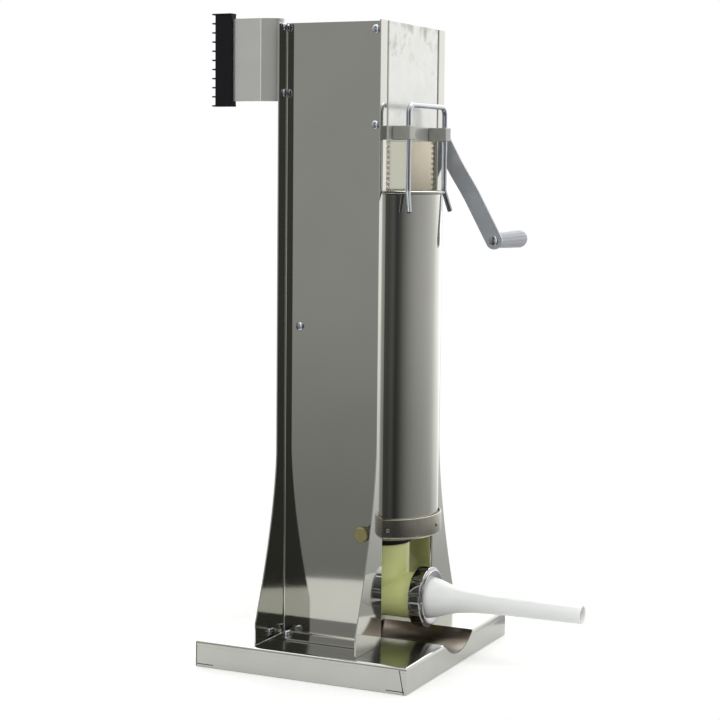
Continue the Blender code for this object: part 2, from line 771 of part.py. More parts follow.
def make_rear_foot(side, sign):
    pitch = (foot_high - foot_low - foot_rib) / (foot_ribs - 1)
    back = foot_back_y
    outline = [(foot_front_y, foot_low)]
    for i in range(foot_ribs):
        low = foot_low + pitch * i
        if i:
            outline.append((back, low))
        outline += [(back + foot_rib_depth, low), (back + foot_rib_depth, low + foot_rib)]
        if i < foot_ribs - 1:
            outline.append((back, low + foot_rib))
    outline.append((foot_front_y, foot_high))
    mesh = outline_mesh(f"rear_foot_{side}", outline, 2 * foot_half_width, "YZ")
    foot = add(f"rear_foot_{side}", mesh, (sign * bracket_plate_x, 0, 0), frame, black_rubber)
    half = bracket_sheet / 2 + clearance
    low = (-half, foot_front_y - overrun, bracket_low - clearance)
    high = (half, foot_front_y + foot_slot_depth, bracket_high + clearance)
    slot = box_mesh(f"foot_slot_{side}", low, high)
    boolean(foot, cutter(f"foot_slot_{side}", slot, (sign * bracket_plate_x, 0, 0), frame))


# Gasket, elbow, ring nut and nozzle
gasket_height = 0.012
gasket_radius = 0.035
cradle_hole_radius = 0.030
elbow_top = cradle_bottom - gasket_height
elbow_radius = 0.033
elbow_wall = 0.0045
elbow_bore = elbow_radius - elbow_wall
neck_taper_height = 0.094
neck_root_radius = 0.023
neck_root_drop = 0.003
outlet_radius = 0.0270
outlet_bore = outlet_radius - elbow_wall
outlet_end_y = -0.0282
dome_steps = 5
nozzle_seat_y = outlet_end_y - clearance
nozzle_flange = 0.0022
nozzle_wall = 0.0016
nozzle_root_radius = 0.0236
nozzle_tip_radius = 0.0103
thread_play = 0.0010
ring_nut_radius = 0.0330
ring_nut_length = 0.0180
ring_nut_lip = 0.0020
ring_nut_bore = outlet_radius + thread_play
ring_nut_mouth = nozzle_root_radius + 2 * clearance
ring_nut_flutes = 12
flute_radius = 0.006
flute_depth = 0.0010
nozzle_flange_radius = ring_nut_bore - 2 * clearance
nut_front_y = nozzle_seat_y - nozzle_flange - clearance - ring_nut_lip
nozzle_shape_shares = ((0.030, 0.99), (0.095, 0.72), (0.160, 0.43), (0.235, 0.24), (0.36, 0.13), (1.0, 0.0))


def make_gasket():
    low, high = elbow_top + clearance, cradle_bottom - clearance
    profile = [(gasket_radius, high), (gasket_radius, low), (cradle_hole_radius, low), (cradle_hole_radius, high)]
    mesh = turned_mesh("outlet_gasket", profile, medium_steps, "Z", True)
    add("outlet_gasket", mesh, (0, cylinder_axis_y, 0), frame, black_rubber)


def domed_profile(radius, front, steps):
    """A round bar along -Y from its domed back, given as radius against distance back from the front."""
    return [(0, front + radius)] + arc((0, front), radius, 90, 0, steps)[1:] + [(radius, 0), (0, 0)]


def make_elbow():
    reach = cylinder_axis_y - outlet_end_y
    body = turned_mesh("outlet_elbow", domed_profile(outlet_radius, reach, dome_steps), medium_steps, "Y")
    elbow = add("outlet_elbow", body, (0, outlet_end_y, outlet_height), frame, yellow_plastic)
    top = elbow_top - outlet_height
    cone = neck_taper_height - outlet_height
    neck_profile = [(0, top), (elbow_radius, top), (elbow_radius, cone)]
    neck_profile += [(neck_root_radius, -neck_root_drop), (0, -neck_root_drop)]
    neck = turned_mesh("elbow_neck", neck_profile, medium_steps)
    centre = (0, cylinder_axis_y, outlet_height)
    boolean(elbow, cutter("elbow_neck", neck, centre, frame), "UNION")
    hollow_profile = domed_profile(outlet_bore, reach + overrun, dome_steps)
    hollow = turned_mesh("elbow_outlet_bore", hollow_profile, medium_steps, "Y")
    boolean(elbow, cutter("elbow_outlet_bore", hollow, (0, outlet_end_y - overrun, outlet_height), frame))
    bore_profile = [(0, top + overrun), (elbow_bore, top + overrun), (elbow_bore, cone)]
    bore_profile += [(neck_root_radius - elbow_wall, clearance), (0, clearance)]
    bore = turned_mesh("elbow_neck_bore", bore_profile, medium_steps)
    boolean(elbow, cutter("elbow_neck_bore", bore, centre, frame))
    weld = elbow.modifiers.new("weld", "WELD")
    weld.merge_threshold = weld_distance


def make_ring_nut(holder):
    depth = ring_nut_length
    chamfer = ring_nut_lip / 2
    profile = [(ring_nut_bore, depth), (ring_nut_radius - chamfer, depth), (ring_nut_radius, depth - chamfer)]
    profile += [(ring_nut_radius, chamfer), (ring_nut_radius - chamfer, 0), (ring_nut_mouth, 0)]
    profile += [(ring_nut_mouth, ring_nut_lip), (ring_nut_bore, ring_nut_lip)]
    mesh = turned_mesh("ring_nut", profile, fine_steps, "Y", True)
    nut = add("ring_nut", mesh, (0, nut_front_y, outlet_height), holder, chrome)
    distance = ring_nut_radius + flute_radius - flute_depth
    for i in range(ring_nut_flutes):
        angle = 2 * math.pi * (i + 0.5) / ring_nut_flutes
        place = (distance * math.cos(angle), nut_front_y, outlet_height + distance * math.sin(angle))
        drill(nut, f"nut_flute_{i}", place, holder, flute_radius, chamfer * 2, depth + overrun, "Y", small_steps)


def make_nozzle():
    seat = nozzle_seat_y
    root = nozzle_flange
    span = nozzle_root_radius - nozzle_tip_radius
    outer = [(nozzle_tip_radius + span * share, -place * nozzle_length) for place, share in nozzle_shape_shares]
    inner = [(radius - nozzle_wall, depth) for radius, depth in outer[::-1]]
    profile = [(nozzle_root_radius - nozzle_wall, 0), (nozzle_flange_radius, 0), (nozzle_flange_radius, -root)]
    profile += [(nozzle_root_radius, -root)] + outer + inner
    mesh = turned_mesh("nozzle", profile, medium_steps, "Y", True)
    add("nozzle", mesh, (0, seat, outlet_height), frame, white_plastic)


# Piston: disc, seal and the bolt that holds the rack's foot
piston_rest = cradle_bottom + cradle_floor + 2 * clearance
piston_gap = 0.0015
piston_radius = tube_radius - tube_wall - piston_gap
piston_height = 0.020
piston_edge = 0.002
seal_depth = 0.0045
seal_height = 0.005
piston_bolt_radius = 0.004
piston_bolt_head_radius = 0.0075
piston_bolt_head = 0.005
piston_bolt_grip = 0.0175
rack_foot_radius = 0.020
rack_foot_height = 0.006


def make_piston(holder):
    groove_low = (piston_height - seal_height) / 2
    groove_high = groove_low + seal_height
    floor = piston_radius - seal_depth
    top = piston_height
    recess = piston_bolt_head + 2 * clearance
    hole = piston_bolt_radius + clearance
    counter = piston_bolt_head_radius + clearance
    profile = [(hole, top), (piston_radius - piston_edge, top), (piston_radius, top - piston_edge)]
    profile += [(piston_radius, groove_high), (floor, groove_high), (floor, groove_low), (piston_radius, groove_low)]
    profile += [(piston_radius, piston_edge), (piston_radius - piston_edge, 0), (counter, 0)]
    profile += [(counter, recess), (hole, recess)]
    mesh = turned_mesh("piston_disc", profile, fine_steps, "Z", True)
    add("piston_disc", mesh, (0, cylinder_axis_y, piston_rest), holder, white_plastic)

    low, high = groove_low + clearance, groove_high - clearance
    lip = tube_radius - tube_wall - clearance
    profile = [(lip, (low + high) / 2 + clearance), (lip, (low + high) / 2 - clearance), (piston_radius, low)]
    profile += [(floor + clearance, low), (floor + clearance, high), (piston_radius, high)]
    mesh = turned_mesh("piston_seal", profile, fine_steps, "Z", True)
    add("piston_seal", mesh, (0, cylinder_axis_y, piston_rest), holder, black_rubber)

    head = piston_bolt_head
    profile = [(0, head + piston_bolt_grip), (piston_bolt_radius, head + piston_bolt_grip), (piston_bolt_radius, head)]
    profile += [(piston_bolt_head_radius, head), (piston_bolt_head_radius, 0), (0, 0)]
    mesh = turned_mesh("piston_bolt", profile, small_steps)
    add("piston_bolt", mesh, (0, cylinder_axis_y, piston_rest + clearance), holder, zinc)


# Rack and pinion
rack_top_drop = 0.0191
rack_bottom = piston_rest + piston_height + clearance
rack_length = tower_top - rack_top_drop - rack_bottom
pressure = math.radians(20)
tooth_play = 0.0002
rack_tooth_start = 0.030
pinion_width = 0.016
flank_steps = 2


def make_rack(holder):
    pitch = math.pi * tooth_module
    half_pitch_line = pitch / 4 - tooth_play
    tip_half = half_pitch_line - rack_addendum * math.tan(pressure)
    root_half = half_pitch_line + rack_dedendum * math.tan(pressure)
    tip, root = -rack_addendum, rack_dedendum
    bottom = rack_foot_height / 2
    # The teeth count out from the one whose gap faces the pinion's tooth at the shaft's height
    level = shaft_height - rack_bottom
    first = math.ceil((rack_tooth_start - level) / pitch + 0.5)
    last = math.floor((rack_length - level - root_half) / pitch - 0.5)
    outline = [(rack_depth, rack_length), (rack_depth, bottom), (root, bottom)]
    for i in range(first, last + 1):
        middle = level + pitch * (i + 0.5)
        outline += [(root, middle - root_half), (tip, middle - tip_half)]
        outline += [(tip, middle + tip_half), (root, middle + root_half)]
    outline.append((root, rack_length))
    mesh = outline_mesh("toothed_rack", outline[::-1], rack_thickness, "YZ")
    rack = add("toothed_rack", mesh, (0, rack_pitch_y, rack_bottom), holder, rack_steel)
    profile = [(0, rack_foot_height), (rack_foot_radius, rack_foot_height), (rack_foot_radius, 0), (0, 0)]
    foot = turned_mesh("rack_foot", profile, medium_steps)
    boolean(rack, cutter("rack_foot", foot, (0, cylinder_axis_y, rack_bottom), holder), "UNION")
    depth = piston_bolt_grip
    drill(rack, "rack_thread", (0, cylinder_axis_y, rack_bottom), holder, piston_bolt_radius + clearance,
          -overrun, depth, "Z")


def involute_flank(base, start, end, half_angle, count):
    """Radius and angle along one flank, from the root side to the tip."""
    def roll(radius):
        return math.sqrt(max(0, (radius / base) ** 2 - 1))

    def swing(radius):
        return roll(radius) - math.atan(roll(radius))

    pitch_swing = swing(pinion_radius)
    radii = [start + (end - start) * i / count for i in range(count + 1)]
    return [(radius, half_angle + pitch_swing - swing(radius)) for radius in radii]


def make_pinion(holder):
    base = pinion_radius * math.cos(pressure)
    tip = pinion_radius + tooth_module
    root = pinion_radius - rack_addendum - tooth_play
    half = (math.pi * tooth_module / 4 - tooth_play) / pinion_radius
    curve = involute_flank(base, base, tip, half, flank_steps)
    flank = [(root, curve[0][1])] + curve
    outline = []
    for i in range(pinion_teeth):
        middle = 2 * math.pi * i / pinion_teeth
        tooth = [(r, middle - a) for r, a in flank] + [(r, middle + a) for r, a in flank[::-1]]
        outline += [(r * math.cos(a), r * math.sin(a)) for r, a in tooth]
    mesh = outline_mesh("pinion", outline, pinion_width, "YZ")
    pinion = add("pinion", mesh, (0, shaft_y, shaft_height), holder, steel)
    drill(pinion, "pinion_bore", (0, shaft_y, shaft_height), holder, shaft_radius + clearance,
          -pinion_width, pinion_width, "X", medium_steps)


# Rack guide: the bar behind the rack that holds it against the pinion
guide_bar_half = 0.021
guide_bar_low = shaft_height - guide_bar_half
guide_bar_high = shaft_height + guide_bar_half
guide_bar_groove = 0.005


def make_rack_guide():
    front = rack_back_y + clearance - guide_bar_groove
    half = cover_inner - clearance
    mesh = box_mesh("rack_guide", (-half, front, guide_bar_low), (half, guide_bar_back_y, guide_bar_high))
    bar = add("rack_guide", mesh, (0, 0, 0), frame, white_plastic)
    groove = rack_thickness / 2 + clearance
    low = (-groove, front - overrun, guide_bar_low - overrun)
    high = (groove, rack_back_y + clearance, guide_bar_high + overrun)
    boolean(bar, cutter("guide_groove", box_mesh("guide_groove", low, high), (0, 0, 0), frame))


# Crank shaft, its bushes, the cranked arm and the turning grip
bush_flange_radius = 0.0113
bush_flange = 0.003
bush_inner_length = 0.010
left_bush_length = 0.012
arm_thickness = 0.0035
arm_width = 0.0205
arm_gap = 0.0015
arm_hub_x = panel_outer + fin_width + arm_gap + arm_thickness / 2
arm_joggle = 0.007
arm_joggle_start = 0.062
arm_joggle_end = 0.112
arm_end_steps = 8
hub_nut_radius = 0.010
hub_nut_height = 0.007
hub_nut_x = arm_hub_x + arm_thickness / 2 + clearance
shaft_stub = 0.0024
shoulder_radius = 0.0095
shaft_end_x = hub_nut_x + hub_nut_height + shaft_stub
spindle_radius = 0.0035
spindle_head_radius = 0.0058
spindle_head = 0.0012
spindle_length = 0.070
grip_gap = 0.0010
grip_start = arm_hub_x + arm_joggle + arm_thickness / 2 + grip_gap
grip_length = 0.0865
grip_near_radius = 0.0088
grip_far_radius = 0.0108
grip_flutes = 14
grip_flute_depth = 0.0006


def make_bushes():
    inner = shaft_radius + clearance
    start = cover_inner - bush_inner_length
    flange = panel_outer + clearance
    profile = [(inner, flange + bush_flange), (bush_flange_radius, flange + bush_flange)]
    profile += [(bush_flange_radius, flange), (bush_radius, flange), (bush_radius, start), (inner, start)]
    mesh = turned_mesh("shaft_bush_right", profile, medium_steps, "X", True)
    add("shaft_bush_right", mesh, (0, shaft_y, shaft_height), frame, steel)
    wall = -(cover_inner - clearance)
    profile = [(0, wall + bush_flange), (inner, wall + bush_flange), (inner, wall + left_bush_length)]
    profile += [(bush_radius, wall + left_bush_length), (bush_radius, wall), (0, wall)]
    mesh = turned_mesh("shaft_bush_left", profile, medium_steps, "X")
    add("shaft_bush_left", mesh, (0, shaft_y, shaft_height), frame, steel)


def make_shaft(holder):
    start = -(cover_inner - clearance) + bush_flange + clearance
    shoulder_end = arm_hub_x - arm_thickness / 2 - clearance
    shoulder_start = panel_outer + bush_flange + 2 * clearance
    profile = [(0, shaft_end_x), (shaft_radius, shaft_end_x), (shaft_radius, shoulder_end)]
    profile += [(shoulder_radius, shoulder_end), (shoulder_radius, shoulder_start)]
    profile += [(shaft_radius, shoulder_start), (shaft_radius, start), (0, start)]
    mesh = turned_mesh("crank_shaft", profile, medium_steps, "X")
    add("crank_shaft", mesh, (0, shaft_y, shaft_height), holder, steel)


def arm_shift(distance):
    share = (distance - arm_joggle_start) / (arm_joggle_end - arm_joggle_start)
    return arm_joggle * min(1, max(0, share))


def make_arm(holder):
    """A flat bar drawn hanging down, bent outward between two creases, then leaned forward."""
    half = arm_width / 2
    outline = arc((0, 0), half, 0, 180, arm_end_steps) + arc((0, -crank_reach), half, 180, 360, arm_end_steps)
    mesh = outline_mesh("crank_arm", outline, arm_thickness, "YZ")
    bm = bmesh.new()
    bm.from_mesh(mesh)
    for distance in (arm_joggle_start, arm_joggle_end):
        everything = bm.verts[:] + bm.edges[:] + bm.faces[:]
        bmesh.ops.bisect_plane(bm, geom=everything, plane_co=(0, 0, -distance), plane_no=(0, 0, 1))
    for vert in bm.verts:
        vert.co.x += arm_shift(-vert.co.z)
    bm.to_mesh(mesh)
    bm.free()
    mesh.transform(Matrix.Rotation(-crank_lean, 4, "X"))
    arm = add("crank_arm", mesh, (arm_hub_x, shaft_y, shaft_height), holder, zinc)
    drill(arm, "arm_hub_hole", (arm_hub_x, shaft_y, shaft_height), holder, shaft_radius + clearance,
          -overrun, overrun, "X", medium_steps)
    drill(arm, "arm_spindle_hole", (arm_hub_x + arm_joggle, *arm_tip()), holder, spindle_radius + clearance,
          -overrun, overrun, "X", small_steps)


def arm_tip():
    return shaft_y - crank_reach * math.sin(crank_lean), shaft_height - crank_reach * math.cos(crank_lean)


def make_hub_nut(holder):
    mesh = outline_mesh("hub_nut", hexagon(hub_nut_radius), hub_nut_height, "YZ")
    place = (hub_nut_x + hub_nut_height / 2, shaft_y, shaft_height)
    nut = add("hub_nut", mesh, place, holder, zinc)
    drill(nut, "hub_nut_thread", place, holder, shaft_radius + clearance,
          -hub_nut_height, hub_nut_height, "X", medium_steps)


def make_spindle(holder):
    y, z = arm_tip()
    inner = arm_hub_x + arm_joggle - arm_thickness / 2 - clearance
    end = grip_start + spindle_length
    profile = [(0, end), (spindle_radius, end), (spindle_radius, inner), (spindle_head_radius, inner)]
    profile += [(spindle_head_radius, inner - spindle_head * head_edge_share)]
    profile += [(spindle_head_radius * head_crown_share, inner - spindle_head), (0, inner - spindle_head)]
    add("grip_spindle", turned_mesh("grip_spindle", profile, small_steps, "X"), (0, y, z), holder, zinc)


def make_grip(holder):
    y, z = arm_tip()
    length = grip_length
    bore = spindle_radius + clearance
    end = spindle_length + clearance
    crown = [(r, length - (grip_far_radius - z) / 2) for r, z in arc((0, 0), grip_far_radius, 90, 0, 3)]
    profile = [(0, length)] + crown[1:] + [(grip_near_radius, 0), (bore, 0), (bore, end), (0, end)]
    mesh = turned_mesh("crank_grip", profile, 2 * grip_flutes, "X")
    bm = bmesh.new()
    bm.from_mesh(mesh)
    for vert in bm.verts:
        radial = Vector((0, vert.co.y, vert.co.z))
        turn = round(math.atan2(vert.co.z, vert.co.y) / (math.pi / grip_flutes))
        if radial.length > grip_near_radius - clearance and turn % 2:
            vert.co -= radial.normalized() * grip_flute_depth
    bm.to_mesh(mesh)
    bm.free()
    add("crank_grip", mesh, (grip_start, y, z), holder, grey_plastic)


def build():
    make_base()
    make_trough()
    for side, sign in (("left", -1), ("right", 1)):
        make_side_panel(side, sign)
        make_guide_block(side, sign)
        make_rear_bracket(side, sign)
        make_rear_foot(side, sign)
        thumb = pivot(f"thumb_turn_{side}", (sign * panel_outer, thumb_y, thumb_height), frame)
        make_thumb_screw(side, sign, thumb)
    make_front_cover()
    make_top_plate()
    make_rack_guide()
    make_bail(pivot("bail_slide", (0, bail_y, bail_top), frame))
    make_cylinder()
    make_cradle()
    make_rivets()
    make_stop_rod()
    make_panel_screws()
    make_foot_bolts()
    make_gasket()
    make_elbow()
    make_ring_nut(pivot("nut_turn", (0, nut_front_y, outlet_height), frame))
    make_nozzle()
    piston = pivot("rack_slide", (0, cylinder_axis_y, piston_rest), frame)
    make_piston(piston)
    make_rack(piston)
    make_bushes()
    crank = pivot("crank_turn", (0, shaft_y, shaft_height), frame)
    make_shaft(crank)
    make_pinion(crank)
    make_arm(crank)
    make_hub_nut(crank)
    make_spindle(crank)
    y, z = arm_tip()
    make_grip(pivot("grip_spin", (grip_start, y, z), crank))


# The ends of the whole object, which centre it over the origin
end_left = -base_width / 2
end_right = grip_start + grip_length
end_front = nozzle_seat_y - nozzle_length
end_rear = foot_back_y + foot_rib_depth
frame = pivot("stuffer_frame", (-(end_left + end_right) / 2, -(end_front + end_rear) / 2, 0))
build()
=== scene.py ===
# Sausage stuffer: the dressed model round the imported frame, with camera, light and floor
import math

import bmesh
import bpy
from mathutils import Matrix, Vector


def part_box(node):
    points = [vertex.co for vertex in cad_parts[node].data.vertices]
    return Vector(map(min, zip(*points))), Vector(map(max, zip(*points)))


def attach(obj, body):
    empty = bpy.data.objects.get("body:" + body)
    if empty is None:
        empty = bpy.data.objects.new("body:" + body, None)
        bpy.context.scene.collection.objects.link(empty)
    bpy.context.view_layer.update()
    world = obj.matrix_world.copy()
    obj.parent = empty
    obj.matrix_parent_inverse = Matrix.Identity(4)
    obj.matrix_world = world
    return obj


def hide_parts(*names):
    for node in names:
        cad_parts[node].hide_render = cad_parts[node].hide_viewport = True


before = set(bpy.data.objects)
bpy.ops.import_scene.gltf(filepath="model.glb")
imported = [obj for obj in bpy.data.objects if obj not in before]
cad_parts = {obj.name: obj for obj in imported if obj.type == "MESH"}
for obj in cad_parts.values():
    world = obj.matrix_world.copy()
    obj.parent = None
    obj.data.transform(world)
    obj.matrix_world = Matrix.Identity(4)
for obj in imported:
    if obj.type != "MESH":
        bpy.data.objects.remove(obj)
bpy.ops.object.select_all(action="DESELECT")
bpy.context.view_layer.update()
print("frame loaded:", len(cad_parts), "nodes")

scene = bpy.context.scene
scene.view_settings.view_transform = "Standard"
tiny = 0.00001

# Places that many pieces share, read from the frame
tubeLow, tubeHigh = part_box("cylinder_tube")
panelLow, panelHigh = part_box("left_side_panel")
coverLow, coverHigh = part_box("front_cover")
baseLow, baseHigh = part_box("base_tray")
middleX = (tubeLow.x + tubeHigh.x) / 2
frontY = panelLow.y
rearY = panelHigh.y
axisY = (tubeLow.y + tubeHigh.y) / 2
panelInner = coverHigh.x - 0.003


# Camera and light
cameraView = {
    "place": (-1.9458, -0.8451, 0.566),
    "azimuth": -64.6539,
    "elevation": 5.8705,
    "roll": 0.5573,
    "lensMm": 91.516,
}


def setCamera(view):
    bpy.ops.object.camera_add(location=view["place"])
    camera = bpy.context.active_object
    camera.data.lens = view["lensMm"]
    camera.data.sensor_width = 36
    heading = Matrix.Rotation(math.radians(view["azimuth"]), 3, "Z")
    tilt = Matrix.Rotation(math.radians(90 - view["elevation"]), 3, "X")
    roll = Matrix.Rotation(math.radians(view["roll"]), 3, "Z")
    camera.rotation_euler = (heading @ tilt @ roll).to_euler()
    camera.data.clip_start = 0.05
    scene.camera = camera


def hexColour(code):
    values = [int(code[i:i + 2], 16) / 255 for i in (1, 3, 5)]
    linear = [v / 12.92 if v <= 0.04045 else ((v + 0.055) / 1.055) ** 2.4 for v in values]
    return (*linear, 1)


def addNode(tree, kind, settings=None, links=None):
    node = tree.nodes.new(kind)
    for name, value in (settings or {}).items():
        if isinstance(name, int) or name in node.inputs:
            node.inputs[name].default_value = value
        else:
            setattr(node, name, value)
    for name, source in (links or {}).items():
        tree.links.new(source, node.inputs[name])
    return node


# What polished steel sees round the room: degrees round from +X, and how bright it is there
room = {
    "round": (
        (-180, 1.6), (-176, 1.1), (-171, 0.42), (-165, 0.28), (-160, 0.12), (-147, 0.085), (-139, 0.13),
        (-131, 0.05), (-124, 0.095), (-116, 0.21), (-104, 0.37), (-90, 0.50), (-66, 0.64), (-51, 0.76), (-38, 0.94),
        (-24, 1.35), (5, 1.75), (40, 1.9),
        (80, 1.1), (115, 0.60), (140, 0.43), (160, 0.41), (171, 0.34), (176, 1.1), (180, 1.6),
    ),
    "brightest": 2.0,
    "up": ((-30, 0.50), (-14, 0.52), (-9, 0.68), (-4, 0.95), (4, 1.0), (25, 1.0), (40, 2.2), (70, 3.0)),
    "upMost": 3.0,
    "lowRound": ((-180, 1.0), (-60, 1.0), (-42, 0.70), (-8, 0.70), (15, 1.0), (180, 1.0)),
    "lowFrom": -9,
    "lowTo": -12,
    "plain": 0.84,
}


def setWorld():
    world = bpy.data.worlds.new("white room")
    scene.world = world
    world.use_nodes = True
    tree = world.node_tree
    tree.nodes.clear()
    coords = addNode(tree, "ShaderNodeTexCoord")
    axes = addNode(tree, "ShaderNodeSeparateXYZ", {}, {0: coords.outputs["Generated"]})
    turn = addNode(tree, "ShaderNodeMath", {"operation": "ARCTAN2"}, {0: axes.outputs["Y"], 1: axes.outputs["X"]})
    share = addNode(tree, "ShaderNodeMapRange", {1: -math.pi, 2: math.pi}, {0: turn.outputs[0]})
    around = addNode(tree, "ShaderNodeValToRGB", {}, {0: share.outputs[0]})
    fillRamp(around.color_ramp, [((a + 180) / 360, level / room["brightest"]) for a, level in room["round"]])
    rise = addNode(tree, "ShaderNodeMath", {"operation": "ARCSINE"}, {0: axes.outputs["Z"]})
    height = addNode(tree, "ShaderNodeMapRange", {1: -math.pi / 2, 2: math.pi / 2}, {0: rise.outputs[0]})
    upward = addNode(tree, "ShaderNodeValToRGB", {}, {0: height.outputs[0]})
    fillRamp(upward.color_ramp, [((a + 90) / 180, level / room["upMost"]) for a, level in room["up"]])
    level = addNode(tree, "ShaderNodeMath", {"operation": "MULTIPLY"}, {0: around.outputs[0], 1: upward.outputs[0]})
    level = addNode(tree, "ShaderNodeMath", {"operation": "MULTIPLY", 1: room["brightest"] * room["upMost"]},
                    {0: level.outputs[0]})
    shade = addNode(tree, "ShaderNodeValToRGB", {}, {0: share.outputs[0]})
    fillRamp(shade.color_ramp, [((a + 180) / 360, low) for a, low in room["lowRound"]])
    below = addNode(tree, "ShaderNodeMapRange", {1: math.radians(room["lowFrom"]), 2: math.radians(room["lowTo"])},
                    {0: rise.outputs[0]})
    low = addNode(tree, "ShaderNodeMix", {"data_type": "FLOAT", 2: 1.0}, {0: below.outputs[0], 3: shade.outputs[0]})
    level = addNode(tree, "ShaderNodeMath", {"operation": "MULTIPLY"}, {0: level.outputs[0], 1: low.outputs[0]})
    ray = addNode(tree, "ShaderNodeLightPath")
    seen = addNode(tree, "ShaderNodeMix", {"data_type": "FLOAT", 2: room["plain"]},
                   {0: ray.outputs["Is Glossy Ray"], 3: level.outputs[0]})
    clear = addNode(tree, "ShaderNodeMath", {"operation": "MAXIMUM"},
                    {0: ray.outputs["Is Camera Ray"], 1: ray.outputs["Is Transmission Ray"]})
    final = addNode(tree, "ShaderNodeMix", {"data_type": "FLOAT", 3: 1.0}, {0: clear.outputs[0], 2: seen.outputs[0]})
    back = addNode(tree, "ShaderNodeBackground", {"Color": (1, 1, 1, 1)}, {"Strength": final.outputs[0]})
    addNode(tree, "ShaderNodeOutputWorld", {}, {"Surface": back.outputs[0]})


def fillRamp(ramp, stops):
    ramp.elements[0].position = stops[0][0]
    ramp.elements[1].position = stops[-1][0]
    for position, level in stops[1:-1]:
        ramp.elements.new(position)
    for element, (position, level) in zip(ramp.elements, stops):
        element.color = (level, level, level, 1)


floorPlan = {
    "radius": 0.40, "place": (-0.10, 0.20, 0), "colour": "#f7f7f5", "roughness": 0.6, "gloss": 0.2, "glow": 0.14,
}
softbox = {"place": (-0.9, -1.1, 2.4), "aim": (0, 0, 0.3), "size": 1.6, "power": 22}


def setFloor():
    bpy.ops.mesh.primitive_circle_add(vertices=96, radius=floorPlan["radius"], location=floorPlan["place"],
                                      fill_type="NGON")
    floor = bpy.context.active_object
    floor.name = "floor"
    material = bpy.data.materials.new("white paper")
    material.use_nodes = True
    tree = material.node_tree
    shader = tree.nodes["Principled BSDF"]
    shader.inputs["Base Color"].default_value = hexColour(floorPlan["colour"])
    shader.inputs["Roughness"].default_value = floorPlan["roughness"]
    shader.inputs["Specular IOR Level"].default_value = floorPlan["gloss"]
    ray = addNode(tree, "ShaderNodeLightPath")
    glow = addNode(tree, "ShaderNodeMath", {"operation": "MULTIPLY", 1: floorPlan["glow"]},
                   {0: ray.outputs["Is Camera Ray"]})
    shader.inputs["Emission Color"].default_value = (1, 1, 1, 1)
    tree.links.new(glow.outputs[0], shader.inputs["Emission Strength"])
    floor.data.materials.append(material)


innerLamp = {"y": 0.030, "z": 0.600, "off": 0.002, "tall": 0.09, "wide": 0.05, "power": 0.062}


def addLamp(place, turn, tall, wide, power):
    bpy.ops.object.light_add(type="AREA", location=place)
    lamp = bpy.context.active_object
    lamp.data.shape = "RECTANGLE"
    lamp.data.size, lamp.data.size_y = tall, wide
    lamp.data.energy = power
    lamp.rotation_euler = turn
    lamp.visible_glossy = False


def setLamps():
    place = Vector(softbox["place"])
    turn = (Vector(softbox["aim"]) - place).to_track_quat("-Z", "Y").to_euler()
    addLamp(place, turn, softbox["size"], softbox["size"], softbox["power"])
    # The small one stands for the daylight that the right panel throws back on the rack
    place = (panelInner - innerLamp["off"], frontY + innerLamp["y"], innerLamp["z"])
    addLamp(place, (0, math.radians(90), 0), innerLamp["tall"], innerLamp["wide"], innerLamp["power"])


setCamera(cameraView)
setWorld()
setFloor()
setLamps()
print("camera, light and floor set")


# Materials, each named for what the real one is
def startMaterial(name):
    material = bpy.data.materials.new(name)
    material.use_nodes = True
    tree = material.node_tree
    coords = addNode(tree, "ShaderNodeTexCoord")
    return material, tree, tree.nodes["Principled BSDF"], coords.outputs["Object"]


def perMetre(millimetres):
    return 1000 / millimetres


everyWay = (1, 1, 1)
upright = (1, 1, 0.03)   # marks that run up the piece
across = (0.03, 1, 1)    # marks that run along X
finishDepth = 0.00002    # of polishing marks, in metres


def stretched(tree, coords, scale):
    mapping = addNode(tree, "ShaderNodeMapping", {"Scale": scale}, {"Vector": coords})
    return mapping.outputs[0]


def steelMaterial(name, look):
    # Steel sheet or bar: a tint that drifts, fine polishing marks along the grain and a slow waviness
    material, tree, shader, coords = startMaterial(name)
    tint = addNode(tree, "ShaderNodeTexNoise", {"Scale": perMetre(look["smearMm"]), "Detail": 3}, {"Vector": coords})
    colour = addNode(tree, "ShaderNodeMix",
                     {"data_type": "RGBA", 6: hexColour(look["colour"]), 7: hexColour(look["smear"])},
                     {0: tint.outputs["Fac"]})
    tree.links.new(colour.outputs[2], shader.inputs["Base Color"])
    grain = addNode(tree, "ShaderNodeTexNoise", {"Scale": perMetre(look["grainMm"]), "Detail": 2},
                    {"Vector": stretched(tree, coords, look.get("along", everyWay))})
    rough = addNode(tree, "ShaderNodeMapRange", {3: look["roughness"][0], 4: look["roughness"][1]},
                    {0: grain.outputs["Fac"]})
    tree.links.new(rough.outputs[0], shader.inputs["Roughness"])
    wave = addNode(tree, "ShaderNodeTexNoise", {"Scale": perMetre(look["waveMm"]), "Detail": 0}, {"Vector": coords})
    slow = addNode(tree, "ShaderNodeBump", {"Strength": 1.0, "Distance": look["waveDepth"]},
                   {"Height": wave.outputs["Fac"]})
    fine = addNode(tree, "ShaderNodeBump", {"Strength": look["grainStrength"], "Distance": finishDepth},
                   {"Height": grain.outputs["Fac"], "Normal": slow.outputs[0]})
    tree.links.new(fine.outputs[0], shader.inputs["Normal"])
    shader.inputs["Metallic"].default_value = look.get("metallic", 1.0)
    return material


# Mirror-polished stainless sheet: clear reflections, slightly warm, with faint upright polishing marks
mirrorSteel = steelMaterial("mirror polished stainless", {
    "colour": "#c6c6bf", "smear": "#bdbdb4", "smearMm": 90, "grainMm": 0.6, "along": upright,
    "roughness": (0.03, 0.09), "waveMm": 140, "waveDepth": 0.00025, "grainStrength": 0.02,
})
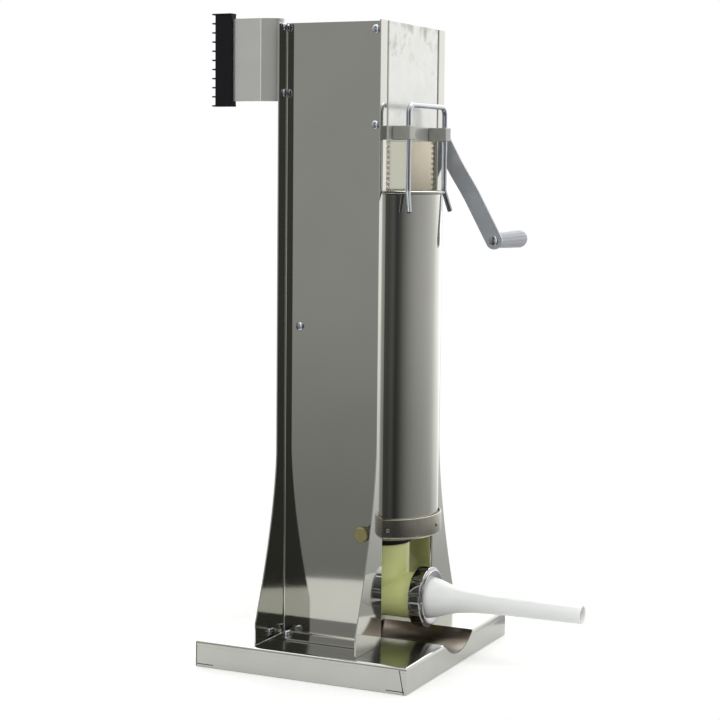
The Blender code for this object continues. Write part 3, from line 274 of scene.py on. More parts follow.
# Bright cold-rolled stainless: soft-edged reflections
brightSteel = steelMaterial("bright rolled stainless", {
    "colour": "#c6c7c3", "smear": "#babab4", "smearMm": 40, "grainMm": 0.5, "along": across,
    "roughness": (0.10, 0.20), "waveMm": 90, "waveDepth": 0.0002, "grainStrength": 0.05,
})
# Satin stainless: reflections blurred along the grain, a greyish warm tone
satinSteel = steelMaterial("satin stainless", {
    "colour": "#a5a196", "smear": "#8f8b80", "smearMm": 15, "grainMm": 0.4, "along": across,
    "roughness": (0.20, 0.32), "waveMm": 60, "waveDepth": 0.0001, "grainStrength": 0.15,
})
# Trough steel: painted dark brown for the shade and dark reflection under the outlet, darker than the tray
shadedTroughSteel = steelMaterial("trough steel with painted shade", {
    "colour": "#665e56", "smear": "#544d46", "smearMm": 20, "grainMm": 0.5, "along": across,
    "roughness": (0.16, 0.28), "waveMm": 40, "waveDepth": 0.0001, "grainStrength": 0.1,
})
# Bracket steel, brushed and cleaner than the cradle: light and neutral
brushedSteel = steelMaterial("brushed stainless", {
    "colour": "#dededa", "smear": "#d2d2cd", "smearMm": 25, "grainMm": 0.4, "along": upright,
    "roughness": (0.16, 0.26), "waveMm": 80, "waveDepth": 0.0001, "grainStrength": 0.08, "metallic": 0.75,
})
# Cast and ground block: dull grey with a green tone
castSteel = steelMaterial("cast stainless", {
    "colour": "#b3b4ad", "smear": "#a0a19a", "smearMm": 6, "grainMm": 0.5,
    "roughness": (0.40, 0.52), "waveMm": 12, "waveDepth": 0.00008, "grainStrength": 0.3, "metallic": 0.6,
})
# Zinc-plated flat bar: rolled surface under the plate, so lighter and duller than the screws
platedBar = steelMaterial("zinc plated bar", {
    "colour": "#c6cace", "smear": "#b4b9bf", "smearMm": 9, "grainMm": 0.8,
    "roughness": (0.34, 0.46), "waveMm": 30, "waveDepth": 0.0001, "grainStrength": 0.12, "metallic": 0.7,
})
# Bright zinc plate: bluish, with small cloudy patches
zincPlate = steelMaterial("bright zinc plate", {
    "colour": "#d0d3d8", "smear": "#b4b9c3", "smearMm": 6, "grainMm": 1.2,
    "roughness": (0.08, 0.18), "waveMm": 12, "waveDepth": 0.00006, "grainStrength": 0.1,
})
# Fresh zinc plate on the bolts and screws: clear glints on a bluish ground
glossyZinc = steelMaterial("glossy zinc plate", {
    "colour": "#e2e7ee", "smear": "#c3cad6", "smearMm": 3, "grainMm": 1.0,
    "roughness": (0.05, 0.14), "waveMm": 4, "waveDepth": 0.00012, "grainStrength": 0.1,
})
# Bright chrome plate over a cast nut: almost a mirror, slightly violet in the dark parts
chromePlate = steelMaterial("bright chrome plate", {
    "colour": "#c6c8c4", "smear": "#a9a7b1", "smearMm": 20, "grainMm": 1.0,
    "roughness": (0.03, 0.08), "waveMm": 15, "waveDepth": 0.00012, "grainStrength": 0.03,
})
# Turned and ground steel: fine lines round the piece
turnedSteel = steelMaterial("turned steel", {
    "colour": "#a8a49c", "smear": "#8f8b84", "smearMm": 8, "grainMm": 0.3,
    "roughness": (0.25, 0.42), "waveMm": 20, "waveDepth": 0.00005, "grainStrength": 0.2,
})
# Milled bar: dull and slightly warm, with cutter marks across it
milledSteel = steelMaterial("milled steel bar", {
    "colour": "#f4ebe0", "smear": "#eadfd0", "smearMm": 25, "grainMm": 0.5, "along": across,
    "roughness": (0.40, 0.55), "waveMm": 40, "waveDepth": 0.00005, "grainStrength": 0.25, "metallic": 0.05,
})
# Unplated brass gone dull: pale and greenish
dullBrass = steelMaterial("dull brass", {
    "colour": "#a8a274", "smear": "#7c774f", "smearMm": 4, "grainMm": 0.5,
    "roughness": (0.30, 0.50), "waveMm": 10, "waveDepth": 0.00008, "grainStrength": 0.3, "metallic": 0.85,
})
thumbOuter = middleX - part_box("thumb_screw_left")[0].x
collarTone = {"colour": "#2e271b", "start": thumbOuter - 0.0112, "fade": 0.0004}  # the head keeps the brass colour beyond start


def darkenCollar(material):
    # The collar behind the knurled head is coloured dark brown; the head beyond start keeps the brass colour
    tree = material.node_tree
    shader = tree.nodes["Principled BSDF"]
    coords = addNode(tree, "ShaderNodeTexCoord")
    places = addNode(tree, "ShaderNodeSeparateXYZ", {}, {0: coords.outputs["Object"]})
    out = addNode(tree, "ShaderNodeMath", {"operation": "SUBTRACT", 1: middleX}, {0: places.outputs["X"]})
    out = addNode(tree, "ShaderNodeMath", {"operation": "ABSOLUTE"}, {0: out.outputs[0]})
    head = addNode(tree, "ShaderNodeMapRange", {1: collarTone["start"], 2: collarTone["start"] + collarTone["fade"]},
                   {0: out.outputs[0]})
    brassTone = shader.inputs["Base Color"].links[0].from_socket
    colour = addNode(tree, "ShaderNodeMix", {"data_type": "RGBA", 6: hexColour(collarTone["colour"])},
                     {0: head.outputs[0], 7: brassTone})
    tree.links.new(colour.outputs[2], shader.inputs["Base Color"])


darkenCollar(dullBrass)

coverLook = {
    "colour": "#dbdbd7", "cloud": "#cfd0cb", "cloudMm": 18, "stain": "#8f8a72", "stainMm": 22, "stainDrop": 0.06,
    "stainCut": (0.61, 0.80), "blastMm": 0.8, "roughness": (0.24, 0.36), "metallic": 0.75,
}


def coverMaterial():
    # Matt-blasted stainless: scatters light almost like paint, with a few oil stains near its top
    material, tree, shader, coords = startMaterial("matt blasted stainless")
    cloud = addNode(tree, "ShaderNodeTexNoise", {"Scale": perMetre(coverLook["cloudMm"]), "Detail": 6},
                    {"Vector": coords})
    base = addNode(tree, "ShaderNodeMix",
                   {"data_type": "RGBA", 6: hexColour(coverLook["colour"]), 7: hexColour(coverLook["cloud"])},
                   {0: cloud.outputs["Fac"]})
    spots = addNode(tree, "ShaderNodeTexNoise",
                    {"Scale": perMetre(coverLook["stainMm"]), "Detail": 8, "Roughness": 0.7}, {"Vector": coords})
    height = addNode(tree, "ShaderNodeSeparateXYZ", {}, {0: coords})
    start = coverHigh.z - coverLook["stainDrop"]
    near = addNode(tree, "ShaderNodeMapRange", {1: start, 2: coverHigh.z, 3: 0.0, 4: 0.16}, {0: height.outputs["Z"]})
    both = addNode(tree, "ShaderNodeMath", {"operation": "ADD"}, {0: spots.outputs["Fac"], 1: near.outputs[0]})
    first, last = coverLook["stainCut"]
    mask = addNode(tree, "ShaderNodeMapRange", {1: first, 2: last, 3: 0.0, 4: 0.8}, {0: both.outputs[0]})
    colour = addNode(tree, "ShaderNodeMix", {"data_type": "RGBA", 7: hexColour(coverLook["stain"])},
                     {0: mask.outputs[0], 6: base.outputs[2]})
    tree.links.new(colour.outputs[2], shader.inputs["Base Color"])
    rough = addNode(tree, "ShaderNodeMapRange", {3: coverLook["roughness"][0], 4: coverLook["roughness"][1]},
                    {0: cloud.outputs["Fac"]})
    tree.links.new(rough.outputs[0], shader.inputs["Roughness"])
    blast = addNode(tree, "ShaderNodeTexNoise", {"Scale": perMetre(coverLook["blastMm"]), "Detail": 2},
                    {"Vector": coords})
    bump = addNode(tree, "ShaderNodeBump", {"Strength": 0.12, "Distance": 0.00005}, {"Height": blast.outputs["Fac"]})
    tree.links.new(bump.outputs[0], shader.inputs["Normal"])
    shader.inputs["Metallic"].default_value = coverLook["metallic"]
    return material


def mouldedMaterial(name, look):
    # Moulded plastic or rubber: an even colour with slow drifts, a fine moulded skin and a soft gloss
    material, tree, shader, coords = startMaterial(name)
    drift = addNode(tree, "ShaderNodeTexNoise", {"Scale": perMetre(look["driftMm"]), "Detail": 4}, {"Vector": coords})
    colour = addNode(tree, "ShaderNodeMix",
                     {"data_type": "RGBA", 6: hexColour(look["colour"]), 7: hexColour(look["drift"])},
                     {0: drift.outputs["Fac"]})
    tree.links.new(colour.outputs[2], shader.inputs["Base Color"])
    skin = addNode(tree, "ShaderNodeTexNoise", {"Scale": perMetre(look["skinMm"]), "Detail": 2}, {"Vector": coords})
    rough = addNode(tree, "ShaderNodeMapRange", {3: look["roughness"][0], 4: look["roughness"][1]},
                    {0: skin.outputs["Fac"]})
    tree.links.new(rough.outputs[0], shader.inputs["Roughness"])
    bump = addNode(tree, "ShaderNodeBump", {"Strength": look["skin"], "Distance": 0.0001},
                   {"Height": skin.outputs["Fac"]})
    tree.links.new(bump.outputs[0], shader.inputs["Normal"])
    shader.inputs["IOR"].default_value = look["ior"]
    shader.inputs["Specular IOR Level"].default_value = look.get("gloss", 0.5)
    shader.inputs["Subsurface Weight"].default_value = look.get("glow", 0)
    shader.inputs["Subsurface Radius"].default_value = (1, 1, 1)
    shader.inputs["Subsurface Scale"].default_value = look.get("glowDepth", 0.002)
    return material


# Black moulded rubber: dark with a faint grey bloom
blackRubber = mouldedMaterial("black moulded rubber", {
    "colour": "#0c0b0f", "drift": "#131217", "driftMm": 12, "skinMm": 0.6, "skin": 0.15,
    "roughness": (0.50, 0.70), "ior": 1.52, "gloss": 0.2,
})
# Tinted acetal: slightly waxy, light shines a little way in
yellowAcetal = mouldedMaterial("yellow-green acetal", {
    "colour": "#dde2a2", "drift": "#d4db92", "driftMm": 35, "skinMm": 1.5, "skin": 0.05,
    "roughness": (0.16, 0.28), "ior": 1.48, "glow": 0.5, "glowDepth": 0.007,
})
# Natural polypropylene: milky, light passes through the thin wall
milkyPlastic = mouldedMaterial("natural polypropylene", {
    "colour": "#eceeec", "drift": "#e4e6e3", "driftMm": 40, "skinMm": 2.0, "skin": 0.04,
    "roughness": (0.25, 0.38), "ior": 1.49, "glow": 0.4, "glowDepth": 0.004,
})
# White nylon: harder and whiter, for the disc and the guide
whiteNylon = mouldedMaterial("white nylon", {
    "colour": "#e9e9e4", "drift": "#dfdfd8", "driftMm": 30, "skinMm": 1.0, "skin": 0.08,
    "roughness": (0.35, 0.5), "ior": 1.53, "glow": 0.1,
})
# Green-tinted nylon bar that the rack slides along
greenNylon = mouldedMaterial("green tinted nylon", {
    "colour": "#9eb3a5", "drift": "#93a99a", "driftMm": 30, "skinMm": 1.0, "skin": 0.08,
    "roughness": (0.35, 0.5), "ior": 1.53, "glow": 0.1,
})
# Light grey ABS: satin moulded skin
greyAbs = mouldedMaterial("light grey abs", {
    "colour": "#a4a6ac", "drift": "#999ba1", "driftMm": 18, "skinMm": 0.8, "skin": 0.1,
    "roughness": (0.45, 0.6), "ior": 1.54,
})
mattSteel = coverMaterial()
print("materials made")


# Modelling steps that the pieces share
def at(x, y, z):
    # From the tower's own measures: across its middle, back from its front plane, up from the table
    return Vector((middleX + x, frontY + y, z))


def arcPoints(centre, radius, start, end, count):
    turns = [math.radians(start + (end - start) * i / count) for i in range(count + 1)]
    return [(centre[0] + radius * math.cos(t), centre[1] + radius * math.sin(t)) for t in turns]


def eased(share):
    return share * share * (3 - 2 * share)


def softPath(points, radius, count=5):
    # The same path with each corner rounded to an arc
    points = [Vector(point) for point in points]
    path = points[:1]
    for before, corner, after in zip(points, points[1:], points[2:]):
        into, out = (corner - before).normalized(), (after - corner).normalized()
        turn = into.angle(out)
        centre = corner + (out - into).normalized() * radius / math.cos(turn / 2)
        spoke = corner - into * radius * math.tan(turn / 2) - centre
        for i in range(count + 1):
            swing = turn * i / count
            path.append(centre + spoke * math.cos(swing) + into * radius * math.sin(swing))
    return path + points[-1:]


def drawLine(name, points):
    # One point, then extruded from place to place
    bpy.ops.mesh.primitive_plane_add(size=0.01, location=points[0])
    piece = bpy.context.active_object
    piece.name = name
    bpy.ops.object.mode_set(mode="EDIT")
    bpy.ops.mesh.select_mode(type="VERT")
    bpy.ops.mesh.select_all(action="SELECT")
    bpy.ops.mesh.merge(type="CENTER")
    for here, there in zip(points, points[1:]):
        bpy.ops.mesh.extrude_region_move(TRANSFORM_OT_translate={"value": Vector(there) - Vector(here)})
    bpy.ops.mesh.select_all(action="SELECT")
    return piece


def pick(piece, kind, test):
    # Selects by place, and by direction for edges and faces
    bpy.ops.mesh.select_mode(type=kind)
    bpy.ops.mesh.select_all(action="DESELECT")
    mesh = bmesh.from_edit_mesh(piece.data)
    origin = piece.location
    if kind == "VERT":
        chosen = [vert for vert in mesh.verts if test(vert.co + origin)]
    elif kind == "EDGE":
        chosen = [edge for edge in mesh.edges if test((edge.verts[0].co + edge.verts[1].co) / 2 + origin,
                                                      (edge.verts[1].co - edge.verts[0].co).normalized())]
    else:
        chosen = [face for face in mesh.faces if test(face.calc_center_median() + origin, face.normal)]
    for part in chosen:
        part.select_set(True)
    mesh.select_flush_mode()
    bmesh.update_edit_mesh(piece.data)


def extrude(push):
    bpy.ops.mesh.extrude_region_move(TRANSFORM_OT_translate={"value": push})


def leaveEdit(angle=35):
    bpy.ops.object.mode_set(mode="OBJECT")
    bpy.ops.object.shade_smooth_by_angle(angle=math.radians(angle))


def tidyMesh():
    bpy.ops.mesh.select_all(action="SELECT")
    bpy.ops.mesh.remove_doubles(threshold=tiny)
    bpy.ops.mesh.normals_make_consistent(inside=False)


def addModifier(piece, kind, settings):
    bpy.context.view_layer.objects.active = piece
    modifier = piece.modifiers.new(kind.title(), kind)
    for name, value in settings.items():
        setattr(modifier, name, value)
    bpy.ops.object.modifier_apply(modifier=modifier.name)


def thicken(piece, thickness, offset=-1):
    # The drawn sheet gets its thickness behind its face, or half on each side
    bpy.ops.object.mode_set(mode="OBJECT")
    addModifier(piece, "SOLIDIFY", {"thickness": thickness, "offset": offset, "use_even_offset": True})


def sliceAt(height):
    bpy.ops.mesh.select_all(action="SELECT")
    bpy.ops.mesh.bisect(plane_co=(0, 0, height), plane_no=(0, 0, 1))


def boxMiddle(node):
    low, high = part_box(node)
    return (low + high) / 2


def rodProfile(radius, start, end, edge):
    # A solid rod with both ends chamfered
    rim = radius - edge
    return [(0, end), (rim, end), (radius, end - edge), (radius, start + edge), (rim, start), (0, start)]


def cut(piece, tool, operation="DIFFERENCE"):
    addModifier(piece, "BOOLEAN", {"operation": operation, "object": tool})
    bpy.data.objects.remove(tool, do_unlink=True)


def softenEdges(piece, width, segments=2, angle=50, seat=None):
    addModifier(piece, "BEVEL", {"width": width, "segments": segments, "limit_method": "ANGLE",
                                 "angle_limit": math.radians(angle), "harden_normals": False})
    if seat is not None:  # what stands on the base stays square there
        bpy.ops.object.mode_set(mode="EDIT")
        pick(piece, "VERT", lambda place: place.z < seat + width * 1.2)
        bpy.ops.transform.resize(value=(1, 1, 0), center_override=(middleX, frontY, seat))
        bpy.ops.object.mode_set(mode="OBJECT")
    shadeSmooth(piece)
    addModifier(piece, "WEIGHTED_NORMAL", {"keep_sharp": True})


def choose(piece):
    bpy.ops.object.select_all(action="DESELECT")
    piece.select_set(True)
    bpy.context.view_layer.objects.active = piece


def shadeSmooth(piece, angle=35):
    choose(piece)
    bpy.ops.object.shade_smooth_by_angle(angle=math.radians(angle))


def joinPieces(pieces, name):
    bpy.ops.object.select_all(action="DESELECT")
    for piece in pieces:
        piece.select_set(True)
    bpy.context.view_layer.objects.active = pieces[0]
    bpy.ops.object.join()
    pieces[0].name = name
    return pieces[0]


def addBox(name, low, high):
    low, high = Vector(low), Vector(high)
    bpy.ops.mesh.primitive_cube_add(size=1, location=(low + high) / 2)
    piece = bpy.context.active_object
    piece.name = name
    piece.scale = high - low
    bpy.ops.object.transform_apply(location=False, rotation=False, scale=True)
    return piece


rodEdge = 0.0006
sheetEdge = 0.0003
axes = {"X": (Vector((1, 0, 0)), Vector((0, 0, 1))), "Y": (Vector((0, 1, 0)), Vector((1, 0, 0))),
        "Z": (Vector((0, 0, 1)), Vector((1, 0, 0)))}


def turnPiece(name, profile, centre, axis="Z", steps=96):
    # A profile of (radius, distance along the axis) spun all the way round
    along, outward = axes[axis]
    piece = drawLine(name, [centre + outward * radius + along * distance for radius, distance in profile])
    bpy.ops.mesh.spin(steps=steps, angle=2 * math.pi, center=centre, axis=along)
    tidyMesh()
    leaveEdit()
    return piece


def raiseOutline(name, points, push):
    # A closed outline, filled and pushed out to a plate
    piece = drawLine(name, list(points) + [points[0]])
    bpy.ops.mesh.remove_doubles(threshold=tiny)
    bpy.ops.mesh.edge_face_add()
    extrude(push)
    tidyMesh()
    leaveEdit()
    return piece


def placeCopy(source, name, place, direction):
    choose(source)
    bpy.ops.object.transform_apply(location=True, rotation=True, scale=True)
    bpy.ops.object.duplicate(linked=False)
    piece = bpy.context.active_object
    piece.name = name
    piece.rotation_euler = Vector(direction).to_track_quat("Z", "Y").to_euler()
    piece.location = place
    return piece


def finishPiece(piece, body, material, slot, *nodes):
    choose(piece)
    bpy.ops.object.transform_apply(location=True, rotation=True, scale=True)
    piece.data.materials.clear()
    piece.data.materials.append(material)
    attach(piece, body)
    if nodes:
        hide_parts(*nodes)
    return piece


def faceToward(piece, direction):
    # Turns an open sheet's faces over if most of them look the wrong way
    bpy.ops.mesh.select_all(action="SELECT")
    bpy.ops.mesh.normals_make_consistent(inside=False)
    mesh = bmesh.from_edit_mesh(piece.data)
    look = sum((face.normal.dot(direction) * face.calc_area() for face in mesh.faces))
    if look < 0:
        bpy.ops.mesh.flip_normals()


def dress(name, material):
    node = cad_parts[name]
    node.data.materials.clear()
    node.data.materials.append(material)


# Base: a tray of folded sheet, open at its corners, on an in-turned hem
base = {
    "sheet": 0.0015, "edge": 0.0034, "hem": 0.014, "creases": (0.0056, 0.0084), "creaseHalf": 0.0007,
    "creaseDepth": 0.00022, "hemEdge": 0.0013, "seam": 0.0011, "seamLean": 0.0055, "notch": 0.022,
    "notchHeight": 0.0032, "notchWidth": 0.0009,
    "troughRadius": 0.060, "troughDepth": 0.0165, "troughRear": 0.048,
}


def makeBase():
    tray = addBox("baseTray", baseLow, baseHigh)
    bpy.ops.object.mode_set(mode="EDIT")
    pick(tray, "FACE", lambda place, normal: normal.z < -0.5)
    bpy.ops.mesh.inset(thickness=base["hem"])
    bpy.ops.mesh.delete(type="FACE")
    middle = (baseLow + baseHigh) / 2
    pull = [1 - 2 * base["creaseDepth"] / (baseHigh[i] - baseLow[i]) for i in (0, 1)]
    for offset in base["creases"]:
        level = baseHigh.z - offset
        for height in (level - base["creaseHalf"], level, level + base["creaseHalf"]):
            sliceAt(height)
        pick(tray, "VERT", lambda place: abs(place.z - level) < tiny)
        bpy.ops.transform.resize(value=(pull[0], pull[1], 1), center_override=(middle.x, middle.y, level))
    pick(tray, "EDGE", lambda place, way: place.z > baseHigh.z - tiny)
    bpy.ops.mesh.bevel(offset=base["edge"], segments=6)
    half = (baseHigh - baseLow) / 2
    pick(tray, "EDGE", lambda place, way: place.z < tiny and (abs(place.x - middle.x) > half.x - tiny
                                                              or abs(place.y - middle.y) > half.y - tiny))
    bpy.ops.mesh.bevel(offset=base["hemEdge"], segments=3)
    bpy.ops.mesh.select_mode(type="EDGE")
    thicken(tray, base["sheet"])
    radius = base["troughRadius"]
    centre = at(0, 0, baseHigh.z + radius - base["troughDepth"])
    rear = base["troughRear"] - 0.0002
    profile = [(0, rear), (radius + 0.0003, rear), (radius + 0.0003, -0.08), (0, -0.08)]
    cut(tray, turnPiece("channel", profile, centre, "Y", 160))
    cutSeams(tray)
    softenEdges(tray, 0.00025, 2, 60)
    finishPiece(tray, "tower", brightSteel, "satin_sheet", "base_tray")


def cutSeams(tray):
    # The open seams beside the corners and the short steps in the hem
    wall = base["sheet"] + 0.0006
    for cornerX, signX in ((baseLow.x, 1), (baseHigh.x, -1)):
        for cornerY, signY in ((baseLow.y, 1), (baseHigh.y, -1)):
            front = signY > 0
            seamY = cornerY + signY * (0.0024 if front else 0.0006)
            xs = sorted((cornerX - signX * 0.001, cornerX + signX * wall))
            ys = sorted((seamY, seamY + signY * base["seam"]))
            seam = addBox("seam", (xs[0], ys[0], -0.001), (xs[1], ys[1], baseHigh.z - base["edge"]))
            bpy.ops.object.mode_set(mode="EDIT")
            pick(seam, "VERT", lambda place: place.z > 0)
            bpy.ops.transform.translate(value=(0, base["seamLean"] if front else 0, 0))
            bpy.ops.object.mode_set(mode="OBJECT")
            cut(tray, seam)
            ys = sorted((seamY, seamY + signY * base["notch"]))
            step = addBox("step", (xs[0], ys[0], base["notchHeight"]),
                          (xs[1], ys[1], base["notchHeight"] + base["notchWidth"]))
            cut(tray, step)


def makeTrough():
    radius, depth = base["troughRadius"], base["troughDepth"]
    reach = math.degrees(math.acos((radius - depth) / radius))
    centre = at(0, 0, baseHigh.z + radius - depth)
    low = baseLow.y
    outline = arcPoints((centre.x, centre.z), radius, -90 - reach, -90 + reach, 48)
    channel = drawLine("dripChannel", [(x, low, z) for x, z in outline])
    extrude((0, at(0, base["troughRear"], 0).y - low, 0))
    pick(channel, "VERT", lambda place: place.y > low + 0.02)
    bpy.ops.mesh.edge_face_add()
    tidyMesh()
    faceToward(channel, Vector((0, 0, 1)))
    thicken(channel, base["sheet"])
    softenEdges(channel, sheetEdge)
    finishPiece(channel, "tower", shadedTroughSteel, "satin_sheet", "drip_trough")


makeBase()
makeTrough()
print("base made")


# Side panels: a web with two fins that flare into feet, folded from one sheet with a flange below
panel = {
    "sheet": 0.0015, "half": 0.072, "fin": 0.018, "foot": 0.068, "footStraight": 0.025, "flareTop": 0.250,
    "power": 1.6, "rows": 30, "bend": 0.0016, "flange": 0.031, "relief": 0.004, "top": 0.732,
}


def finEdge(height):
    straightTop = baseHigh.z + panel["footStraight"]
    share = min(1, max(0, (panel["flareTop"] - height) / (panel["flareTop"] - straightTop)))
    return panel["half"] + panel["fin"] + (panel["foot"] - panel["fin"]) * share ** panel["power"]


def makeSidePanel(side, sign):
    depth = rearY - frontY
    front, rear, half = panel["sheet"], depth - panel["sheet"], panel["half"]
    bottom = panelLow.z
    outer = half + panel["fin"]
    relief = panel["relief"]
    corners = [(sign * outer, rear), (sign * half, rear), (sign * half, front), (sign * outer, front)]
    section = softPath([(x, y, bottom) for x, y in corners], panel["bend"], 5)
    middle = len(section) // 2
    section[middle:middle] = [Vector((sign * half, y, bottom)) for y in (rear - relief, front + relief)]
    sheetPiece = drawLine(f"sidePanel{side}", [at(*point) for point in section])
    straightTop = baseHigh.z + panel["footStraight"]
    flare = [straightTop + (panel["flareTop"] - straightTop) * i / panel["rows"] for i in range(panel["rows"] + 1)]
    heights = [bottom + 0.004] + flare + [panel["top"]]
    for lower, upper in zip([bottom] + heights, heights):
        extrude((0, 0, upper - lower))
    edge = outer - tiny * 10
    for height in [bottom] + heights[:-1]:
        shift = finEdge(height) - outer
        if shift > tiny:
            pick(sheetPiece, "VERT", lambda p: abs(p.z - height) < tiny and sign * (p.x - middleX) > edge)
            bpy.ops.transform.translate(value=(sign * shift, 0, 0))
    # The web's foot is lifted, turned outward round a bend and run out to the flange
    inside = (frontY + front + relief - tiny, frontY + rear - relief + tiny)
    pick(sheetPiece, "VERT", lambda p: p.z < bottom + tiny and inside[0] < p.y < inside[1])
    bend = panel["bend"]
    bpy.ops.transform.translate(value=(0, 0, panel["sheet"] + bend))
    turn = arcPoints((bend, 0), bend, 180, 270, 4)
    for here, there in zip(turn, turn[1:]):
        extrude((sign * (there[0] - here[0]), 0, there[1] - here[1]))
    extrude((sign * (panel["flange"] - bend), 0, 0))
    bpy.ops.mesh.select_all(action="SELECT")
    faceToward(sheetPiece, Vector((sign, 0, 0)))
    thicken(sheetPiece, panel["sheet"])
    softenEdges(sheetPiece, sheetEdge, 2, 60, bottom)
    finishPiece(sheetPiece, "tower", mirrorSteel, "polished_sheet", f"{side.lower()}_side_panel")


makeSidePanel("Left", -1)
makeSidePanel("Right", 1)


# Front cover: a plain channel of matt sheet
cover = {"sheet": 0.0015, "bend": 0.0028}


def makeCover():
    low, high = coverLow, coverHigh
    corners = [(low.x, high.y), (low.x, low.y), (high.x, low.y), (high.x, high.y)]
    section = softPath([(x, y, low.z) for x, y in corners], cover["bend"], 6)
    piece = drawLine("frontCover", section)
    extrude((0, 0, high.z - low.z))
    faceToward(piece, Vector((0, -1, 0)))
    thicken(piece, cover["sheet"])
    softenEdges(piece, sheetEdge, 2, 60)
    finishPiece(piece, "tower", mattSteel, "pale_sheet", "front_cover")


makeCover()
print("panels and cover made")


# Guide blocks and the bail that slides in them
bail = {
    "wire": 0.003, "half": 0.0515, "bend": 0.010, "drop": 0.024, "out": 0.008,
    "forward": 0.005, "blockEdge": 0.0009,
}


def makeGuideBlock(side):
    low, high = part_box(f"guide_block_{side.lower()}")
    block = addBox(f"guideBlock{side}", low, high)
    softenEdges(block, bail["blockEdge"], 3)
    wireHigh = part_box("retaining_bail")[1]
    centreX = (low.x + high.x) / 2
    place = Vector((centreX, wireHigh.y - bail["wire"], low.z))
    hole = bail["wire"] + 0.0004
    cut(block, turnPiece("hole", [(0, 0.03), (hole, 0.03), (hole, -0.01), (0, -0.01)], place, "Z", 40))
    shadeSmooth(block, 30)
    finishPiece(block, "tower", castSteel, "satin_sheet", f"guide_block_{side.lower()}")


def makeBail():
    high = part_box("retaining_bail")[1]
    wire = bail["wire"]
    y = high.y - wire
    top = high.z - wire
    flare = tubeHigh.z
    half = bail["half"]
    leg = [(middleX + half, y, top), (middleX + half, y, flare),
           (middleX + half + bail["out"], y - bail["forward"], flare - bail["drop"])]
    mirrored = [(2 * middleX - x, place, z) for x, place, z in leg[::-1]]
    path = softPath(mirrored + leg, bail["bend"], 10)
    line = drawLine("retainingBail", path)
    bpy.ops.object.mode_set(mode="OBJECT")
    bpy.ops.object.convert(target="CURVE")
    line.data.bevel_depth = wire
    line.data.bevel_resolution = 5
    line.data.use_fill_caps = True
    bpy.ops.object.convert(target="MESH")
    piece = bpy.context.active_object
    bpy.ops.object.mode_set(mode="EDIT")
    tidyMesh()
    leaveEdit()
    softenEdges(piece, 0.0004, 2, 60)
    finishPiece(piece, "bail", zincPlate, "zinc_steel", "retaining_bail")


makeGuideBlock("Left")
makeGuideBlock("Right")
makeBail()


# Cylinder with its rolled rim, and the cradle it stands in
tube = {"radius": 0.0655, "wall": 0.0015, "rim": 0.0682, "rimHalf": 0.0018}
cradle = {
    "radius": 0.0698, "wall": 0.0030, "height": 0.025, "corner": 0.005, "floor": 0.002, "hole": 0.030,
    "lip": 0.0015, "bossRadius": 0.0085, "bossY": 0.0156, "bossZ": 0.0125,
    "rivetAngles": (-60, 0, 60), "rivetRadius": 0.0024, "rivetHeight": 0.0011, "rivetRise": 0.0125,
}


def makeTube():
    inner = tube["radius"] - tube["wall"]
    crown, swell, lift = (inner + tube["rim"]) / 2, (tube["rim"] - inner) / 2, tube["rimHalf"]
    top = tubeHigh.z - tubeLow.z - lift
    turns = [math.radians(180 - 250 * i / 14) for i in range(15)]
    roll = [(crown + swell * math.cos(t), top + lift * math.sin(t)) for t in turns]
    profile = [(inner, 0.0)] + roll + [(tube["radius"], top - lift - 0.0006), (tube["radius"], 0.0005)]
    profile += [(tube["radius"] - 0.0005, 0.0), (inner, 0.0)]
    piece = turnPiece("cylinderTube", profile, Vector((middleX, axisY, tubeLow.z)), "Z", 160)
    finishPiece(piece, "tower", mirrorSteel, "polished_sheet", "cylinder_tube")


def makeCradle():
    low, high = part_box("cylinder_cradle")
    centre = Vector((middleX, axisY, low.z))
    inner, outer = cradle["radius"] - cradle["wall"], cradle["radius"]
    top, corner = cradle["height"], cradle["corner"]
    lip = arcPoints((inner + cradle["lip"], top - cradle["lip"]), cradle["lip"], 180, 0, 6)
    snug = tube["radius"] + 0.0003
    profile = lip + arcPoints((outer - corner, corner), corner, 0, -90, 8)
    profile += [(cradle["hole"], 0), (cradle["hole"], cradle["floor"]), (snug - 0.002, cradle["floor"])]
    profile += [(snug, cradle["floor"] + 0.002), (snug, top - 0.0020), (inner, top - 0.0017), lip[0]]
    cup = turnPiece("cradleCup", profile, centre, "Z", 160)
    pieces = [cup]
    reach = (high.x - low.x) / 2
    for sign in (-1, 1):
        ends = sorted((sign * reach, sign * (outer - 0.0032)))
        radius = cradle["bossRadius"]
        ring = rodProfile(radius, ends[0], ends[1], rodEdge)
        pieces.append(turnPiece("boss", ring, at(0, cradle["bossY"], low.z + cradle["bossZ"]), "X", 48))
    cup = joinPieces(pieces, "cradleCup")
    finishPiece(cup, "tower", satinSteel, "satin_sheet", "cylinder_cradle")


def makeRivets():
    radius, height = cradle["rivetRadius"], cradle["rivetHeight"]
    dome = [(radius * math.cos(math.radians(a)), height * math.sin(math.radians(a))) for a in range(90, -1, -15)]
    profile = dome + [(radius * 0.6, -0.0004), (radius * 0.6, -0.0018), (0, -0.0018)]
    model = turnPiece("rivetModel", profile, Vector((0, 0, 0)), "Z", 32)
    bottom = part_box("cylinder_cradle")[0].z
    for name, angle in zip(("left", "front", "right"), cradle["rivetAngles"]):
        t = math.radians(angle)
        outward = Vector((math.sin(t), -math.cos(t), 0))
        place = Vector((middleX, axisY, bottom + cradle["rivetRise"])) + outward * (cradle["radius"] + 0.0003)
        piece = placeCopy(model, f"rivet{name.title()}", place, outward)
        finishPiece(piece, "tower", turnedSteel, "machined_steel", f"cradle_rivet_{name}")
    bpy.data.objects.remove(model, do_unlink=True)


makeTube()
makeCradle()
makeRivets()
print("cylinder and cradle made")


